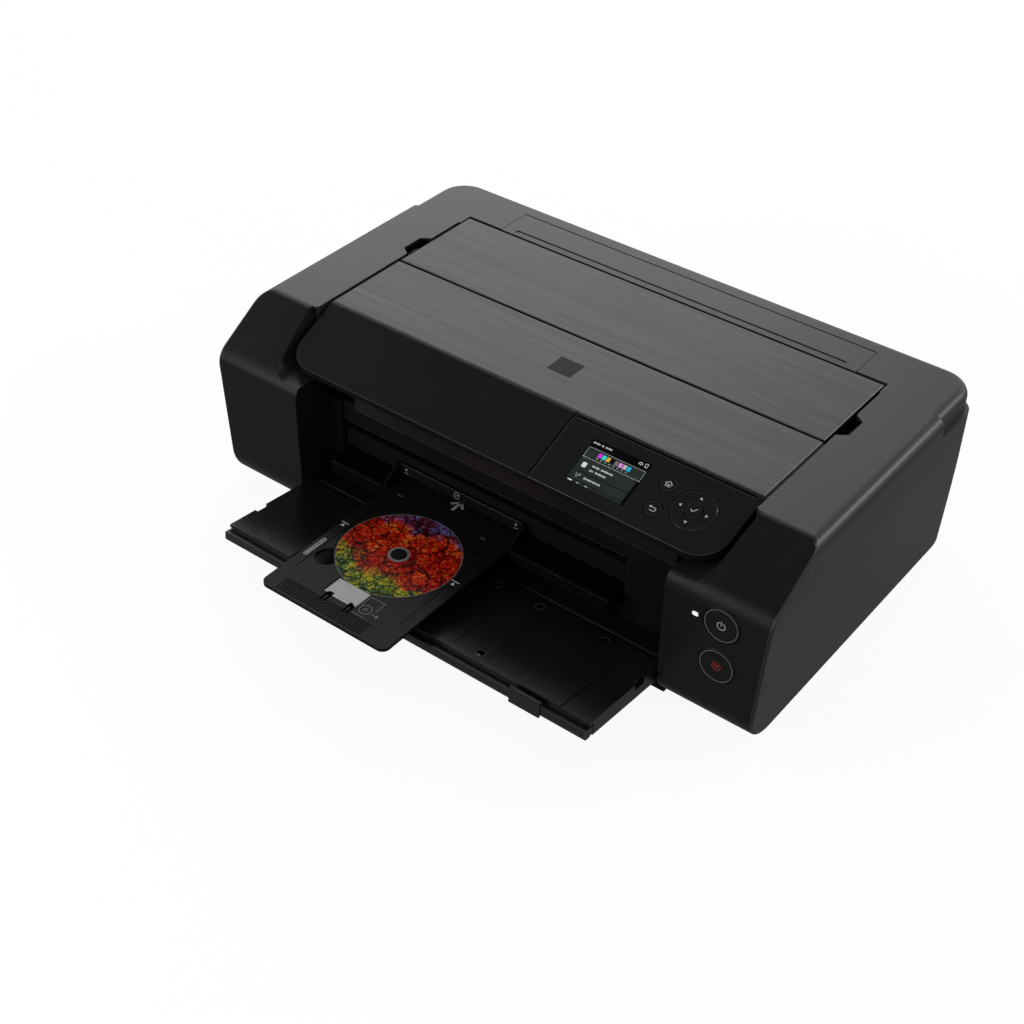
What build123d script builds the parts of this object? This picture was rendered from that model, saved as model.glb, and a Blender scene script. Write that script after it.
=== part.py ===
"""A3+ inkjet photo printer with its front tray open and a disc tray slid in.

Millimetres, +Z up, the printer's front towards -Y. The origin is on the table, at the middle of
the body's width. Each sub-part is a separate solid, written to parts/ under its own name.
"""
from build123d import *
from math import atan2, cos, degrees, hypot, pi, radians, sin, tan
import os

os.makedirs("parts", exist_ok=True)

# Overall body
body_w = 639.0          # width over the side walls
body_h = 200.0          # height of the brushed top
front_y = -190.8        # front face of the two front blocks
rear_y = 188.2          # rear of the rear cap
foot_h = 4.0
wall = 3.0              # moulded wall
side_r = 12.0           # round of the top's outer edges
side_draw = 8.0         # how far each side draws in towards the table
edge_r = 2.6            # round of the side walls' front edges
half_w = body_w / 2
side_low_x = half_w - side_draw
side_full_z = body_h - 50.0     # height where the sides reach their full width

# Clearances
gap = 0.3               # between pieces of different bodies
run = 0.06              # radial running clearance of a pin or shaft
seam = 0.4              # line between two fixed covers

# Top cover and its slope
cover_half = 250.0
cover_taper = 5.0       # how far each side has drawn in at the lip
cover_front_fold_y = -95.5
cover_fold_z = body_h - 0.5
slope_drop = 29.7       # from the fold down to the front lip
slope_run = 74.5
cover_corner_r = 30.0
cover_gap = 2.8         # dark line round the cover
cover_edge = 10.0       # height of the cover's edge
cover_bed_t = 12.0      # from the brushed top to the cover's underside
cover_skin = 3.0
cover_lip_r = 1.2
cover_rear_y = 5.5
cover_hinge_y, cover_hinge_z = -2.0, body_h - 6.0
cover_pin_r, cover_pin_len = 2.5, 4.2
skirt_l_in, skirt_r_in = 46.5, 9.5      # the skirt's ends, from the blocks' inner walls
skirt_y, skirt_t = -157.0, 3.0
skirt_low_z, skirt_top_z = body_h - 62.0, body_h - 30.0
slope_angle = degrees(atan2(slope_drop, slope_run))
slope_len = hypot(slope_drop, slope_run)

# Brushed plates on the cover and on the rear tray's lid
plate_half = 248.5
plate_t = 2.0
plate_bevel = 0.8
roll_r, roll_len = 10.0, 2.6            # the front plate's edge rolls over the fold
lid_front_y, lid_rear_y = 8.5, 121.0
lid_t = 8.0
lid_hinge_y, lid_hinge_z = 117.5, body_h - 4.0
lid_pin_r, lid_pin_len = 2.0, 4.6

# Control panel, its display and keys, in the slope's own directions from the fold
panel_l, panel_t = 50.0, 2.2
panel_seam = 1.0
panel_corner_r = 5.0
panel_edge_r = 1.0
screen_x, screen_y, screen_w, screen_h = 113.5, -41.5, 63.0, 48.5
home_at, back_at, ok_at = (168.8, -27.3), (170.2, -55.9), (202.6, -40.9)
key_r, ring_r = 8.3, 21.0
key_travel = 0.8
key_proud, key_bevel, key_gap = 0.7, 0.5, 0.5

# Front blocks
block_in = 214.5        # half-width of the mouth between the blocks
block_rear_y = -115.4
block_slope = 32.3      # degrees
block_corner_z = body_h - 44.0  # where the slope's line meets the front face
block_low_lean = 2.2    # the front face leans back this much at the foot
block_bottom_r = 38.0
block_fold_r = 24.0     # between slope and front face
block_top_r = 12.0      # between top and slope
block_seam_r = 12.0     # round of the block's outer rear corner
block_fold_y = front_y + (body_h - block_corner_z) / tan(radians(block_slope))

# Channel scooped out of each block beside the cover's lip
scoop_floor_z = body_h - 43.0
scoop_wall_x = 247.0    # the wall's foot
scoop_lean = 0.25       # the wall leans out this much for each mm up
scoop_r = 20.0          # between floor and wall
scoop_rear_y = -141.0

# Push buttons on the right block's front
power_r = 18.5
power_x = (block_in + half_w) / 2 + 5.5
power_z, stop_z = 131.0, 84.3
power_depth = 6.0
well_gap, well_rim = 0.4, 0.7
dish_r, dish_depth, dish_up, dish_right = 60.0, 3.0, 4.5, 2.0
lamp_x, lamp_w, lamp_h = power_x - 25.5, 9.0, 3.6

# Front mouth and its frame
mouth_l, mouth_r = -block_in + 21.8, block_in - 65.9
frame_front_y, frame_back_y = -150.0, -137.0
frame_top_z = skirt_low_z - 4.0
frame_recess = 6.0      # the frame's face steps back this much below the slot
wall_recess = 3.0       # and this much above it
slot_z0, slot_z1 = 100.0, 111.0
entry_z1 = 78.6
sill_y, sill_z = -173.5, 44.0

# Rear housing and cap
rear_wall_y = 180.0
rear_corner_r = 22.0
rear_low_r = 14.0
return_x = 272.0        # where the side shells' rear returns end
ledge_w = 10.0          # shelf round the body that carries the cap
cap_half = half_w - 4.5
cap_front_y = 107.8
cap_low_z = body_h - 22.0
cap_top_z = body_h - 0.4
cap_corner_r = 32.0
cap_edge_r = 10.0
cap_top_t = 6.0
strip_l, strip_r = -207.0, 217.0
strip_front_y, strip_rear_y = 124.0, 166.0
strip_pin_r = 1.2
strip_pin_y, strip_pin_z = strip_rear_y - 2.0, cap_top_z - 2.0
groove_y, groove_w, groove_depth = 131.0, 6.0, 0.9

# Side shells and base pan
shell_in = 252.0
shell_corner = 4.0      # the shells' inner front corners are cut off beside the scoops
flange_low_z = body_h - 34.0
notch_y0, notch_y1, notch_depth, notch_run = 22.0, 62.0, 10.0, 7.0
notch_low_z = body_h - 14.0
pan_half = side_low_x - wall - 0.5
pan_rear_y, pan_t, rim_h = 171.0, 3.0, 8.0
floor_z = foot_h + pan_t
foot_r = 9.0
foot_x, foot_front_y, foot_rear_y = half_w - 44.5, -138.0, 140.0
screw_r, screw_h = 3.2, 1.2

# Output tray and its drawer
tray_tilt = 6.0
tray_half = block_in - 1.5
tray_len = 110.0
tray_t = 17.0
tray_floor_t = 3.2
side_wall = 5.5
tray_hinge_y, tray_hinge_z = -182.5, 36.3
tray_pin_r = 3.0
half_t = tray_t / 2

# Disc tray and disc
disc_x, disc_y = -44.0, -238.3
disc_r = 60.0
disc_hole_r = 7.5
disc_t = 1.2
disc_margin = 0.8
dtray_w = 2 * (disc_r + 14.5)
dtray_front_y, dtray_rear_y = disc_y - disc_r - 47.7, -104.0
dtray_z, dtray_t = 69.3, 3.7
dtray_top = dtray_z + dtray_t
finger_at, finger_r = (disc_x - 50.0, disc_y - 43.7), 12.0

# Paper path
platen_z = 68.6
feed_y, feed_z = 22.0, 63.0
exit_z = 62.5
shaft_r = 4.0
feed_rubber_r = 6.0
exit_rubber_r = 6.1
roller_count, rubber_w = 8, 14.0
roller_x0 = mouth_l + 14.7
roller_pitch = (mouth_r - mouth_l - 47.3) / (roller_count - 1)
star_z, star_r, star_shaft_r = 84.2, 5.6, 1.5
rail_y, rail_z, rail_r = 2.0, 118.0, 5.0
inner_half = half_w - 23.5      # steel side frames
plate_l, plate_r, plate_thick = mouth_l - 10.3, mouth_r + 7.4, 3.0

# Gears
gear_module = 2.0
feed_teeth, idler_teeth, exit_teeth, pinion_teeth = 20, 18, 12, 10
gear_w = 7.0
gear_x = -block_in + 3.0
backlash = 0.5
idler_z = 56.0
axle_r = 2.5
motor_shaft_r = 1.5
feed_r, idler_r = gear_module * feed_teeth / 2, gear_module * idler_teeth / 2
exit_r, pinion_r = gear_module * exit_teeth / 2, gear_module * pinion_teeth / 2
idler_y = [feed_y - ((feed_r + idler_r) ** 2 - (feed_z - idler_z) ** 2) ** 0.5]
idler_y.append(idler_y[0] - 2 * idler_r)
idler_y.append(idler_y[1] - 2 * idler_r)
exit_y = idler_y[2] - ((idler_r + exit_r) ** 2 - (exit_z - idler_z) ** 2) ** 0.5
pinion_y, pinion_z = feed_y + 0.8 * (feed_r + pinion_r), feed_z - 0.6 * (feed_r + pinion_r)

# Carriage
car_x = 215.0           # parked at the right
car_w = 112.0
tank_count = 8
tank_w, tank_pitch = 11.6, 12.3
head_z = 79.5

# Rear tray
paper_x, paper_w = (mouth_l + mouth_r) / 2, mouth_r - mouth_l - 12.3
bed_top_y, bed_top_z = 102.0, body_h - 14.0
bed_low_y, bed_low_z = 38.0, 92.0
bed_t = 3.0
pick_r, pick_shaft_r = 11.2, 3.0
pick_down, pick_clear = 92.0, 1.0       # along the bed from its top edge, and off its face
inlet_x, inlet_z = -250.0, 40.0
ports_x, ports_z = 215.0, 40.0


def slope_plane(height=0.0):
    """The cover's sloping face, its local Y running up the slope from the fold's line."""
    face = Plane(
        origin=(0, cover_front_fold_y, cover_fold_z),
        x_dir=(1, 0, 0),
        z_dir=(0, -sin(radians(slope_angle)), cos(radians(slope_angle))),
    )
    return face.offset(height)


def slope_point(along, height=0.0):
    """The (y, z) place of a point on the slope: along it from the fold, and off its face."""
    at = slope_plane().from_local_coords((0, along, height))
    return (at.Y, at.Z)


def tray_plane(height=0.0):
    """The open output tray's middle plane through its hinge, local Y running to the rear."""
    face = Plane(
        origin=(0, tray_hinge_y, tray_hinge_z),
        x_dir=(1, 0, 0),
        z_dir=(0, sin(radians(tray_tilt)), cos(radians(tray_tilt))),
    )
    return face.offset(height)


def tray_side(x):
    """A plane square to X in the output tray's own directions: local X to the rear, local Y up."""
    return Plane(
        origin=(x, tray_hinge_y, tray_hinge_z),
        x_dir=(0, cos(radians(tray_tilt)), -sin(radians(tray_tilt))),
        z_dir=(1, 0, 0),
    )


def box(x0, x1, y0, y1, z0, z1):
    """A plain block between two corners, for use as a private tool or added to a part."""
    with BuildPart(mode=Mode.PRIVATE) as block:
        with Locations(((x0 + x1) / 2, (y0 + y1) / 2, (z0 + z1) / 2)):
            Box(x1 - x0, y1 - y0, z1 - z0)
    return block.part


def cylinder_x(x0, x1, y, z, radius):
    """A round bar along X."""
    with BuildPart(mode=Mode.PRIVATE) as bar:
        with BuildSketch(Plane.YZ.offset(x0)):
            with Locations((y, z)):
                Circle(radius)
        extrude(amount=x1 - x0)
    return bar.part


def profile_x(points, x0, x1):
    """A prism along X from a closed outline of (y, z) points."""
    with BuildPart(mode=Mode.PRIVATE) as prism:
        with BuildSketch(Plane.YZ.offset(x0)):
            with BuildLine():
                Polyline(*points, close=True)
            make_face()
        extrude(amount=x1 - x0)
    return prism.part


# The body's outer form, from which the blocks, side shells and rear housing are cut
def side_outline(inset=0.0):
    """The body seen from the front: rounded top edges and sides that draw in to the table."""
    top = body_h - inset
    x = half_w - inset
    r = side_r - inset
    low = side_low_x - inset
    with BuildLine() as edge:
        Polyline((0, top), (x - r, top))
        RadiusArc((x - r, top), (x, top - r), r)
        Polyline((x, top - r), (x, side_full_z), (low, 0), (0, 0))
    return edge.line


def side_view(back, low, rear_r):
    """The body seen from the right: top, slope, fold, upright face and rounded feet."""
    low_y = front_y + block_low_lean
    with BuildSketch(Plane.XY, mode=Mode.PRIVATE) as shape:
        with BuildLine():
            Polyline(
                (back, low), (back, body_h), (block_fold_y, body_h),
                (front_y, block_corner_z), (low_y, low), close=True,
            )
        make_face()
        corners = ((back, low, rear_r), (block_fold_y, body_h, block_top_r),
                   (front_y, block_corner_z, block_fold_r), (low_y, low, block_bottom_r))
        for y, z, r in corners:
            fillet(shape.vertices().sort_by_distance((y, z))[0], r)
    return shape.sketch


def square_view(back, low, rear_r):
    """The inside of the body seen from the right, square in front and open upwards."""
    with BuildSketch(Plane.XY, mode=Mode.PRIVATE) as shape:
        with Locations(((back + front_y - 2) / 2, (low + body_h) / 2)):
            Rectangle(back - front_y + 2, body_h - low)
        fillet(shape.vertices().sort_by_distance((back, low))[0], rear_r)
    return shape.sketch


def body_half(inset, view):
    """The body's right half drawn in by inset: front view, plan and a given side view combined."""
    back = rear_wall_y - inset
    with BuildPart(mode=Mode.PRIVATE) as body:
        with BuildSketch(Plane.XZ.offset(-back)):
            with BuildLine():
                add(side_outline(inset))
                Line((0, 0), (0, body_h - inset))
            make_face()
        extrude(amount=back - front_y + 1)
        with BuildSketch(Plane.XY):
            with Locations(((half_w - inset - 1) / 2, (back + front_y - 2) / 2)):
                Rectangle(half_w - inset + 1, back - front_y + 2)
            fillet(vertices().sort_by(lambda v: v.X + v.Y)[-1], rear_corner_r - inset)
        extrude(amount=body_h + 1, mode=Mode.INTERSECT)
        with BuildSketch(Plane.YZ.offset(-1)):
            add(view)
        extrude(amount=half_w + 2, mode=Mode.INTERSECT)
    return body.part


with BuildPart() as body_outer:
    add(body_half(0.0, side_view(rear_wall_y, foot_h, rear_low_r)))
    outer_edges = body_outer.edges().filter_by(lambda e: e.center().X > side_low_x - 1)
    fillet(outer_edges.filter_by(lambda e: e.center().Y < block_fold_y + 4), edge_r)

with BuildPart() as body_hollow:
    add(body_half(wall, square_view(rear_wall_y - wall, floor_z, rear_low_r - wall)))


def front_core(grow):
    """The room that a front block fills inside the side shell's wall, with a rounded rear corner."""
    inset = wall + seam - grow
    back = block_rear_y + grow
    with BuildPart(mode=Mode.PRIVATE) as core:
        with BuildSketch(Plane.XZ.offset(-back)):
            with BuildLine():
                Polyline(
                    (0, 0), (side_low_x - inset, 0), (half_w - inset, side_full_z),
                    (half_w - inset, body_h + 1), (0, body_h + 1), close=True,
                )
            make_face()
        extrude(amount=back - front_y + 1)
        with BuildSketch(Plane.XY):
            with Locations(((half_w - inset - 1) / 2, (back + front_y - 2) / 2)):
                Rectangle(half_w - inset + 1, back - front_y + 2)
            fillet(vertices().sort_by(lambda v: v.X + v.Y)[-1], block_seam_r + grow)
        extrude(amount=body_h + 1, mode=Mode.INTERSECT)
    return core.part


def cover_outline(grow=0.0, rear=130.0):
    """The cover on its slope: sides that draw in to the lip and rounded front corners."""
    low = -slope_len - grow
    half = cover_half + grow
    half_low = half - cover_taper
    with BuildSketch(Plane.XY, mode=Mode.PRIVATE) as shape:
        with BuildLine():
            Polyline((-half, rear), (-half, 0), (-half_low, low), (half_low, low), (half, 0), (half, rear), close=True)
        make_face()
        fillet(shape.vertices().group_by(Axis.Y)[0], cover_corner_r + grow)
    return shape.sketch


well_depth = cover_edge + 3.0
with BuildPart() as cover_well:
    with BuildSketch(slope_plane(-well_depth)):
        add(cover_outline(cover_gap))
    extrude(amount=well_depth + 40)

# The scoop: a channel with a flat floor, a large round and a leaning wall, which ends under the cover
with BuildPart() as scoop:
    with BuildSketch(Plane.XZ.offset(-block_rear_y - 1)):
        scoop_top_z = body_h + 2
        scoop_top_x = scoop_wall_x + scoop_lean * (scoop_top_z - scoop_floor_z)
        with BuildLine():
            Polyline(
                (block_in - 1, scoop_floor_z), (scoop_wall_x, scoop_floor_z), (scoop_top_x, scoop_top_z),
                (block_in - 1, scoop_top_z), close=True,
            )
        make_face()
        fillet(vertices().sort_by_distance((scoop_wall_x, scoop_floor_z))[0], scoop_r)
    extrude(amount=block_rear_y + 1 - front_y + 1)
    bed_front = slope_plane().to_local_coords(Vector(0, scoop_rear_y, cover_fold_z)).Y
    add(
        profile_x(
            [(scoop_rear_y, scoop_floor_z - 1), slope_point(bed_front, -well_depth),
             slope_point(0, -well_depth), (block_rear_y + 2, scoop_floor_z - 1)],
            block_in - 2, cover_half + 20,
        ),
        mode=Mode.SUBTRACT,
    )


def front_block():
    """The right front block before its buttons: the cover's well and the scoop cut from the body."""
    with BuildPart(mode=Mode.PRIVATE) as block:
        add(body_outer.part)
        add(front_core(0.0), mode=Mode.INTERSECT)
        add(box(-1, block_in, front_y - 1, rear_y, -1, body_h + 1), mode=Mode.SUBTRACT)
        add(cover_well.part, mode=Mode.SUBTRACT)
        add(scoop.part, mode=Mode.SUBTRACT)
        add(cylinder_x(block_in - 1, block_in + 6, tray_hinge_y, tray_hinge_z, tray_pin_r + run), mode=Mode.SUBTRACT)
    return block.part


def button_well(z):
    """A round well with a bevelled rim in a block's front face for a push button."""
    radius = power_r + well_gap
    with BuildPart(mode=Mode.PRIVATE) as well:
        with BuildSketch(Plane.XZ.offset(-front_y - power_depth)):
            with Locations((power_x, z)):
                Circle(radius)
        extrude(amount=power_depth + 5)
        with BuildSketch(Plane.XZ.offset(-front_y - well_rim)):
            with Locations((power_x, z)):
                Circle(radius)
        with BuildSketch(Plane.XZ.offset(-front_y + 5)):
            with Locations((power_x, z)):
                Circle(radius + well_rim + 5)
        loft()
    return well.part


with BuildPart() as right_front_block:
    add(front_block())
    for z in (power_z, stop_z):
        add(button_well(z), mode=Mode.SUBTRACT)
    with Locations((power_x + dish_right, front_y - dish_r + dish_depth, power_z + dish_up)):
        Sphere(dish_r, mode=Mode.SUBTRACT)
right_front_block.part.label = "right_front_block"
export_step(right_front_block.part, "parts/right_front_block.step")

# Left front block: the mirror image, with a small stud on its inner wall
stud_y, stud_z, stud_r = -183.5, 122.0, 1.6
with BuildPart() as left_front_block:
    add(front_block())
    mirror(about=Plane.YZ, mode=Mode.REPLACE)
    add(cylinder_x(-block_in - 1, -block_in + 1.2, stud_y, stud_z, stud_r))
left_front_block.part.label = "left_front_block"
export_step(left_front_block.part, "parts/left_front_block.step")

# Side shells: outer wall, top, inner flange and rear return in one moulding, open below
ledge_top_z = cap_low_z - seam
with BuildPart() as ledge:
    add(body_outer.part)
    add(box(-1, half_w, cap_front_y - seam - 1, rear_y, ledge_top_z - wall, ledge_top_z), mode=Mode.INTERSECT)
    with BuildSketch(Plane.XY.offset(ledge_top_z - wall - 1)):
        with Locations(((half_w - ledge_w - 1) / 2, (rear_wall_y - ledge_w) / 2)):
            Rectangle(half_w - ledge_w + 1, rear_wall_y - ledge_w)
        fillet(vertices().sort_by(lambda v: v.X + v.Y)[-1], rear_corner_r - ledge_w)
    extrude(amount=wall + 2, mode=Mode.SUBTRACT)

shelf_y = rear_wall_y - 2 * ledge_w
with BuildPart() as right_side_shell:
    add(body_outer.part)
    add(body_hollow.part, mode=Mode.SUBTRACT)
    add(front_core(seam), mode=Mode.SUBTRACT)
    add(box(-1, half_w + 1, cap_front_y - seam, rear_y, ledge_top_z, body_h + 1), mode=Mode.SUBTRACT)
    add(ledge.part)
    add(box(-1, shell_in, front_y - 1, shelf_y, -1, body_h + 1), mode=Mode.SUBTRACT)
    add(box(-1, return_x, shelf_y - 1, rear_y, -1, body_h + 1), mode=Mode.SUBTRACT)
    add(box(-1, pan_half + gap, front_y, pan_rear_y + seam, -1, floor_z + rim_h + seam), mode=Mode.SUBTRACT)
    flange_y0, flange_y1 = block_rear_y + seam, cap_front_y - seam
    add(box(shell_in, shell_in + wall, flange_y0, flange_y1, flange_low_z, body_h - wall + 0.1))
    corner_edge = right_side_shell.edges().filter_by(Axis.Z).sort_by_distance((shell_in, flange_y0, body_h))[0]
    chamfer(corner_edge, wall - 0.5, shell_corner)
    with BuildSketch(Plane.XY.offset(notch_low_z)):
        notch_x = shell_in + notch_depth
        with BuildLine():
            Polyline(
                (shell_in - 1, notch_y0), (shell_in, notch_y0), (notch_x, notch_y0 + notch_run),
                (notch_x, notch_y1 - notch_run), (shell_in, notch_y1), (shell_in - 1, notch_y1), close=True,
            )
        make_face()
    extrude(amount=body_h - notch_low_z + 1, mode=Mode.SUBTRACT)
    add(
        cylinder_x(shell_in - 1, shell_in + wall + 1, cover_hinge_y, cover_hinge_z, cover_pin_r + run),
        mode=Mode.SUBTRACT,
    )
right_side_shell.part.label = "right_side_shell"
export_step(right_side_shell.part, "parts/right_side_shell.step")

with BuildPart() as left_side_shell:
    add(right_side_shell.part)
    mirror(about=Plane.YZ, mode=Mode.REPLACE)
left_side_shell.part.label = "left_side_shell"
export_step(left_side_shell.part, "parts/left_side_shell.step")

# Base pan: a tray under the machine, with a tongue forward between the blocks
pan_front_y = block_rear_y + seam
with BuildPart() as base_pan:
    with BuildSketch(Plane.XY.offset(foot_h)):
        with Locations((0, (pan_rear_y + pan_front_y) / 2)):
            Rectangle(2 * pan_half, pan_rear_y - pan_front_y)
        with Locations((0, (block_rear_y + sill_y) / 2 + seam)):
            Rectangle(2 * (block_in - gap), block_rear_y - sill_y)
    extrude(amount=pan_t)
    with BuildSketch(Plane.XY.offset(foot_h)):
        with Locations((0, (pan_rear_y + pan_front_y) / 2)):
            Rectangle(2 * pan_half, pan_rear_y - pan_front_y)
            Rectangle(2 * (pan_half - wall), pan_rear_y - pan_front_y - 2 * wall, mode=Mode.SUBTRACT)
    extrude(amount=pan_t + rim_h)
    rim_back_y = pan_front_y + wall + 1
    add(
        box(-block_in + gap, block_in - gap, block_rear_y - 1, rim_back_y, floor_z, floor_z + rim_h + 1),
        mode=Mode.SUBTRACT,
    )
base_pan.part.label = "base_pan"
export_step(base_pan.part, "parts/base_pan.step")

# Feet: four near the corners and one in the middle
with BuildPart() as feet:
    with Locations((0, 0, foot_h / 2)):
        Cylinder(foot_r, foot_h)
    with Locations(*[(x, y, foot_h / 2) for x in (-foot_x, foot_x) for y in (foot_front_y, foot_rear_y)]):
        Cylinder(foot_r, foot_h)
    chamfer(feet.faces().sort_by(Axis.Z)[:5].edges(), 0.8)
feet.part.label = "feet"
export_step(feet.part, "parts/feet.step")

# Rear housing: the back wall between the side shells' returns, with the cap's shelf along its top
inlet_half_w, inlet_half_h = 14.0, 11.0
ports_half_w, ports_half_h = 22.0, 9.0
with BuildPart() as rear_housing:
    add(body_outer.part)
    add(body_hollow.part, mode=Mode.SUBTRACT)
    add(box(-1, half_w + 1, 0, rear_y, ledge_top_z, body_h + 1), mode=Mode.SUBTRACT)
    add(ledge.part)
    add(box(-1, half_w + 1, front_y - 1, shelf_y, -1, body_h + 1), mode=Mode.SUBTRACT)
    add(box(return_x - seam, half_w + 1, shelf_y - 1, rear_y, -1, body_h + 1), mode=Mode.SUBTRACT)
    add(box(-1, half_w, 0, pan_rear_y + seam, -1, floor_z + rim_h + seam), mode=Mode.SUBTRACT)
    mirror(about=Plane.YZ)
    for x, z, w, h in (
        (inlet_x, inlet_z, inlet_half_w, inlet_half_h),
        (ports_x, ports_z, ports_half_w, ports_half_h),
    ):
        add(box(x - w, x + w, rear_wall_y - 10, rear_y, z - h, z + h), mode=Mode.SUBTRACT)
rear_housing.part.label = "rear_housing"
export_step(rear_housing.part, "parts/rear_housing.step")

# Rear cap: overhangs the housing, open in front for the lid and the manual feed strip
cheek_x = plate_half + 2.1
cheek_drop = 3.0
strip_gap, strip_rear_gap = 0.6, 1.2
strip_pin_in, strip_pin_out, strip_hole = 4.0, 2.6, 3.6
with BuildPart() as rear_cap:
    with BuildSketch(Plane.XY.offset(cap_low_z)):
        with Locations((0, (cap_front_y + rear_y) / 2)):
            Rectangle(2 * cap_half, rear_y - cap_front_y)
        fillet(vertices().group_by(Axis.Y)[-1], cap_corner_r)
    extrude(amount=cap_top_z - cap_low_z)
    rim = rear_cap.faces().sort_by(Axis.Z)[-1].edges().filter_by(lambda e: e.center().Y > cap_front_y + 1)
    fillet(rim, cap_edge_r)
    with BuildSketch(Plane.XY.offset(cap_low_z - 1)):
        with Locations((0, (cap_front_y + rear_y) / 2)):
            Rectangle(2 * (cap_half - wall), rear_y - cap_front_y - 2 * wall)
        fillet(vertices().group_by(Axis.Y)[-1], cap_corner_r - wall)
    extrude(amount=cap_top_z - cap_top_t - cap_low_z + 1, mode=Mode.SUBTRACT)
    add(box(-cheek_x, cheek_x, cap_front_y - 1, strip_front_y + 1, cap_low_z - 1, body_h + 1), mode=Mode.SUBTRACT)
    add(
        box(
            strip_l - strip_gap, strip_r + strip_gap, strip_front_y - 2, strip_rear_y + strip_rear_gap,
            cap_low_z - 1, body_h + 1,
        ),
        mode=Mode.SUBTRACT,
    )
    for x0, x1 in ((-cheek_x - wall, -cheek_x), (cheek_x, cheek_x + wall)):
        add(box(x0, x1, cap_front_y, strip_front_y + 2, cap_low_z, cap_top_z - cheek_drop))
        add(cylinder_x(x0 - 1, x1 + 1, lid_hinge_y, lid_hinge_z, lid_pin_r + run), mode=Mode.SUBTRACT)
    for x0, x1 in ((strip_l - strip_hole, strip_l), (strip_r, strip_r + strip_hole)):
        add(cylinder_x(x0, x1, strip_pin_y, strip_pin_z, strip_pin_r + run), mode=Mode.SUBTRACT)
rear_cap.part.label = "rear_cap"
export_step(rear_cap.part, "parts/rear_cap.step")

# Manual feed strip, hinged at its rear edge, with a long finger groove along its front
groove_inset = 14.0
with BuildPart() as manual_feed_cover:
    add(box(strip_l, strip_r, strip_front_y, strip_rear_y - seam, strip_pin_z - strip_pin_r, cap_top_z))
    with BuildSketch(Plane.XY.offset(cap_top_z - groove_depth)):
        with Locations(((strip_l + strip_r) / 2, groove_y)):
            SlotOverall(strip_r - strip_l - 2 * groove_inset, groove_w)
    extrude(amount=groove_depth + 1, mode=Mode.SUBTRACT)
    for x0, x1 in ((strip_l - strip_pin_out, strip_l + strip_pin_in), (strip_r - strip_pin_in, strip_r + strip_pin_out)):
        add(cylinder_x(x0, x1, strip_pin_y, strip_pin_z, strip_pin_r))
manual_feed_cover.part.label = "manual_feed_cover"
export_step(manual_feed_cover.part, "parts/manual_feed_cover.step")

# Rear tray lid: a shallow frame under a brushed plate, with pins at its rear corners
bed_z = body_h - plate_t
lid_low_z = body_h - lid_t
lid_rib_x, lid_rib_pitch, lid_rib_t = 180, 90, 2.0
with BuildPart() as rear_tray_lid:
    add(box(-plate_half, plate_half, lid_front_y, lid_rear_y, lid_low_z, bed_z))
    rear_edges = rear_tray_lid.edges().filter_by(Axis.X).filter_by(lambda e: e.center().Y > lid_rear_y - 1)
    chamfer(rear_edges.sort_by(Axis.Z)[0], 1.5)
    add(
        box(
            wall - plate_half, plate_half - wall, lid_front_y + wall, lid_rear_y - 10,
            lid_low_z - 1, bed_z - 2,
        ),
        mode=Mode.SUBTRACT,
    )
    for x in range(-lid_rib_x, lid_rib_x + 1, lid_rib_pitch):
        add(box(x - lid_rib_t / 2, x + lid_rib_t / 2, lid_front_y + 2, lid_rear_y - 8, lid_low_z + 1, bed_z - 1))
    for side in (-1, 1):
        ends = sorted((side * (plate_half - 5), side * (plate_half + lid_pin_len)))
        add(cylinder_x(ends[0], ends[1], lid_hinge_y, lid_hinge_z, lid_pin_r))
rear_tray_lid.part.label = "rear_tray_lid"
export_step(rear_tray_lid.part, "parts/rear_tray_lid.step")

with BuildPart() as rear_brushed_plate:
    add(box(-plate_half, plate_half, lid_front_y, lid_rear_y, bed_z, body_h))
    chamfer(rear_brushed_plate.faces().sort_by(Axis.Z)[-1].edges(), plate_bevel)
rear_brushed_plate.part.label = "rear_brushed_plate"
export_step(rear_brushed_plate.part, "parts/rear_brushed_plate.step")

# The front brushed plate seen from the right: its front edge rolls over the cover's fold
roll_t, roll_proud = 1.2, 0.3
slope_rise, slope_cos = sin(radians(slope_angle)), cos(radians(slope_angle))
roll_fold = slope_point((body_h - cover_fold_z - roll_proud * slope_cos) / slope_rise, roll_proud)
roll_under = slope_point((bed_z - cover_fold_z + roll_t * slope_cos) / slope_rise, -roll_t)
with BuildSketch(Plane.XY) as rolled_side:
    with BuildLine():
        Polyline(
            (cover_rear_y, bed_z), (cover_rear_y, body_h), roll_fold, slope_point(-roll_len, roll_proud),
            slope_point(-roll_len, -roll_t), roll_under, close=True,
        )
    make_face()
    fillet(vertices().sort_by_distance(roll_fold)[0], roll_r)


def panel_outline(grow=0.0, above=0.0):
    """The control panel on the slope: the cover's outline right of the brushed roll."""
    with BuildSketch(Plane.XY, mode=Mode.PRIVATE) as shape:
        left, right = panel_l + seam - grow, cover_half + 5
        low = -slope_len - 5
        with Locations(((left + right) / 2, (low + above) / 2)):
            Rectangle(right - left, above - low)
        fillet(shape.vertices().sort_by_distance((left, above))[0], panel_corner_r)
        add(cover_outline(3 * grow), mode=Mode.INTERSECT)
    return shape.sketch


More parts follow.
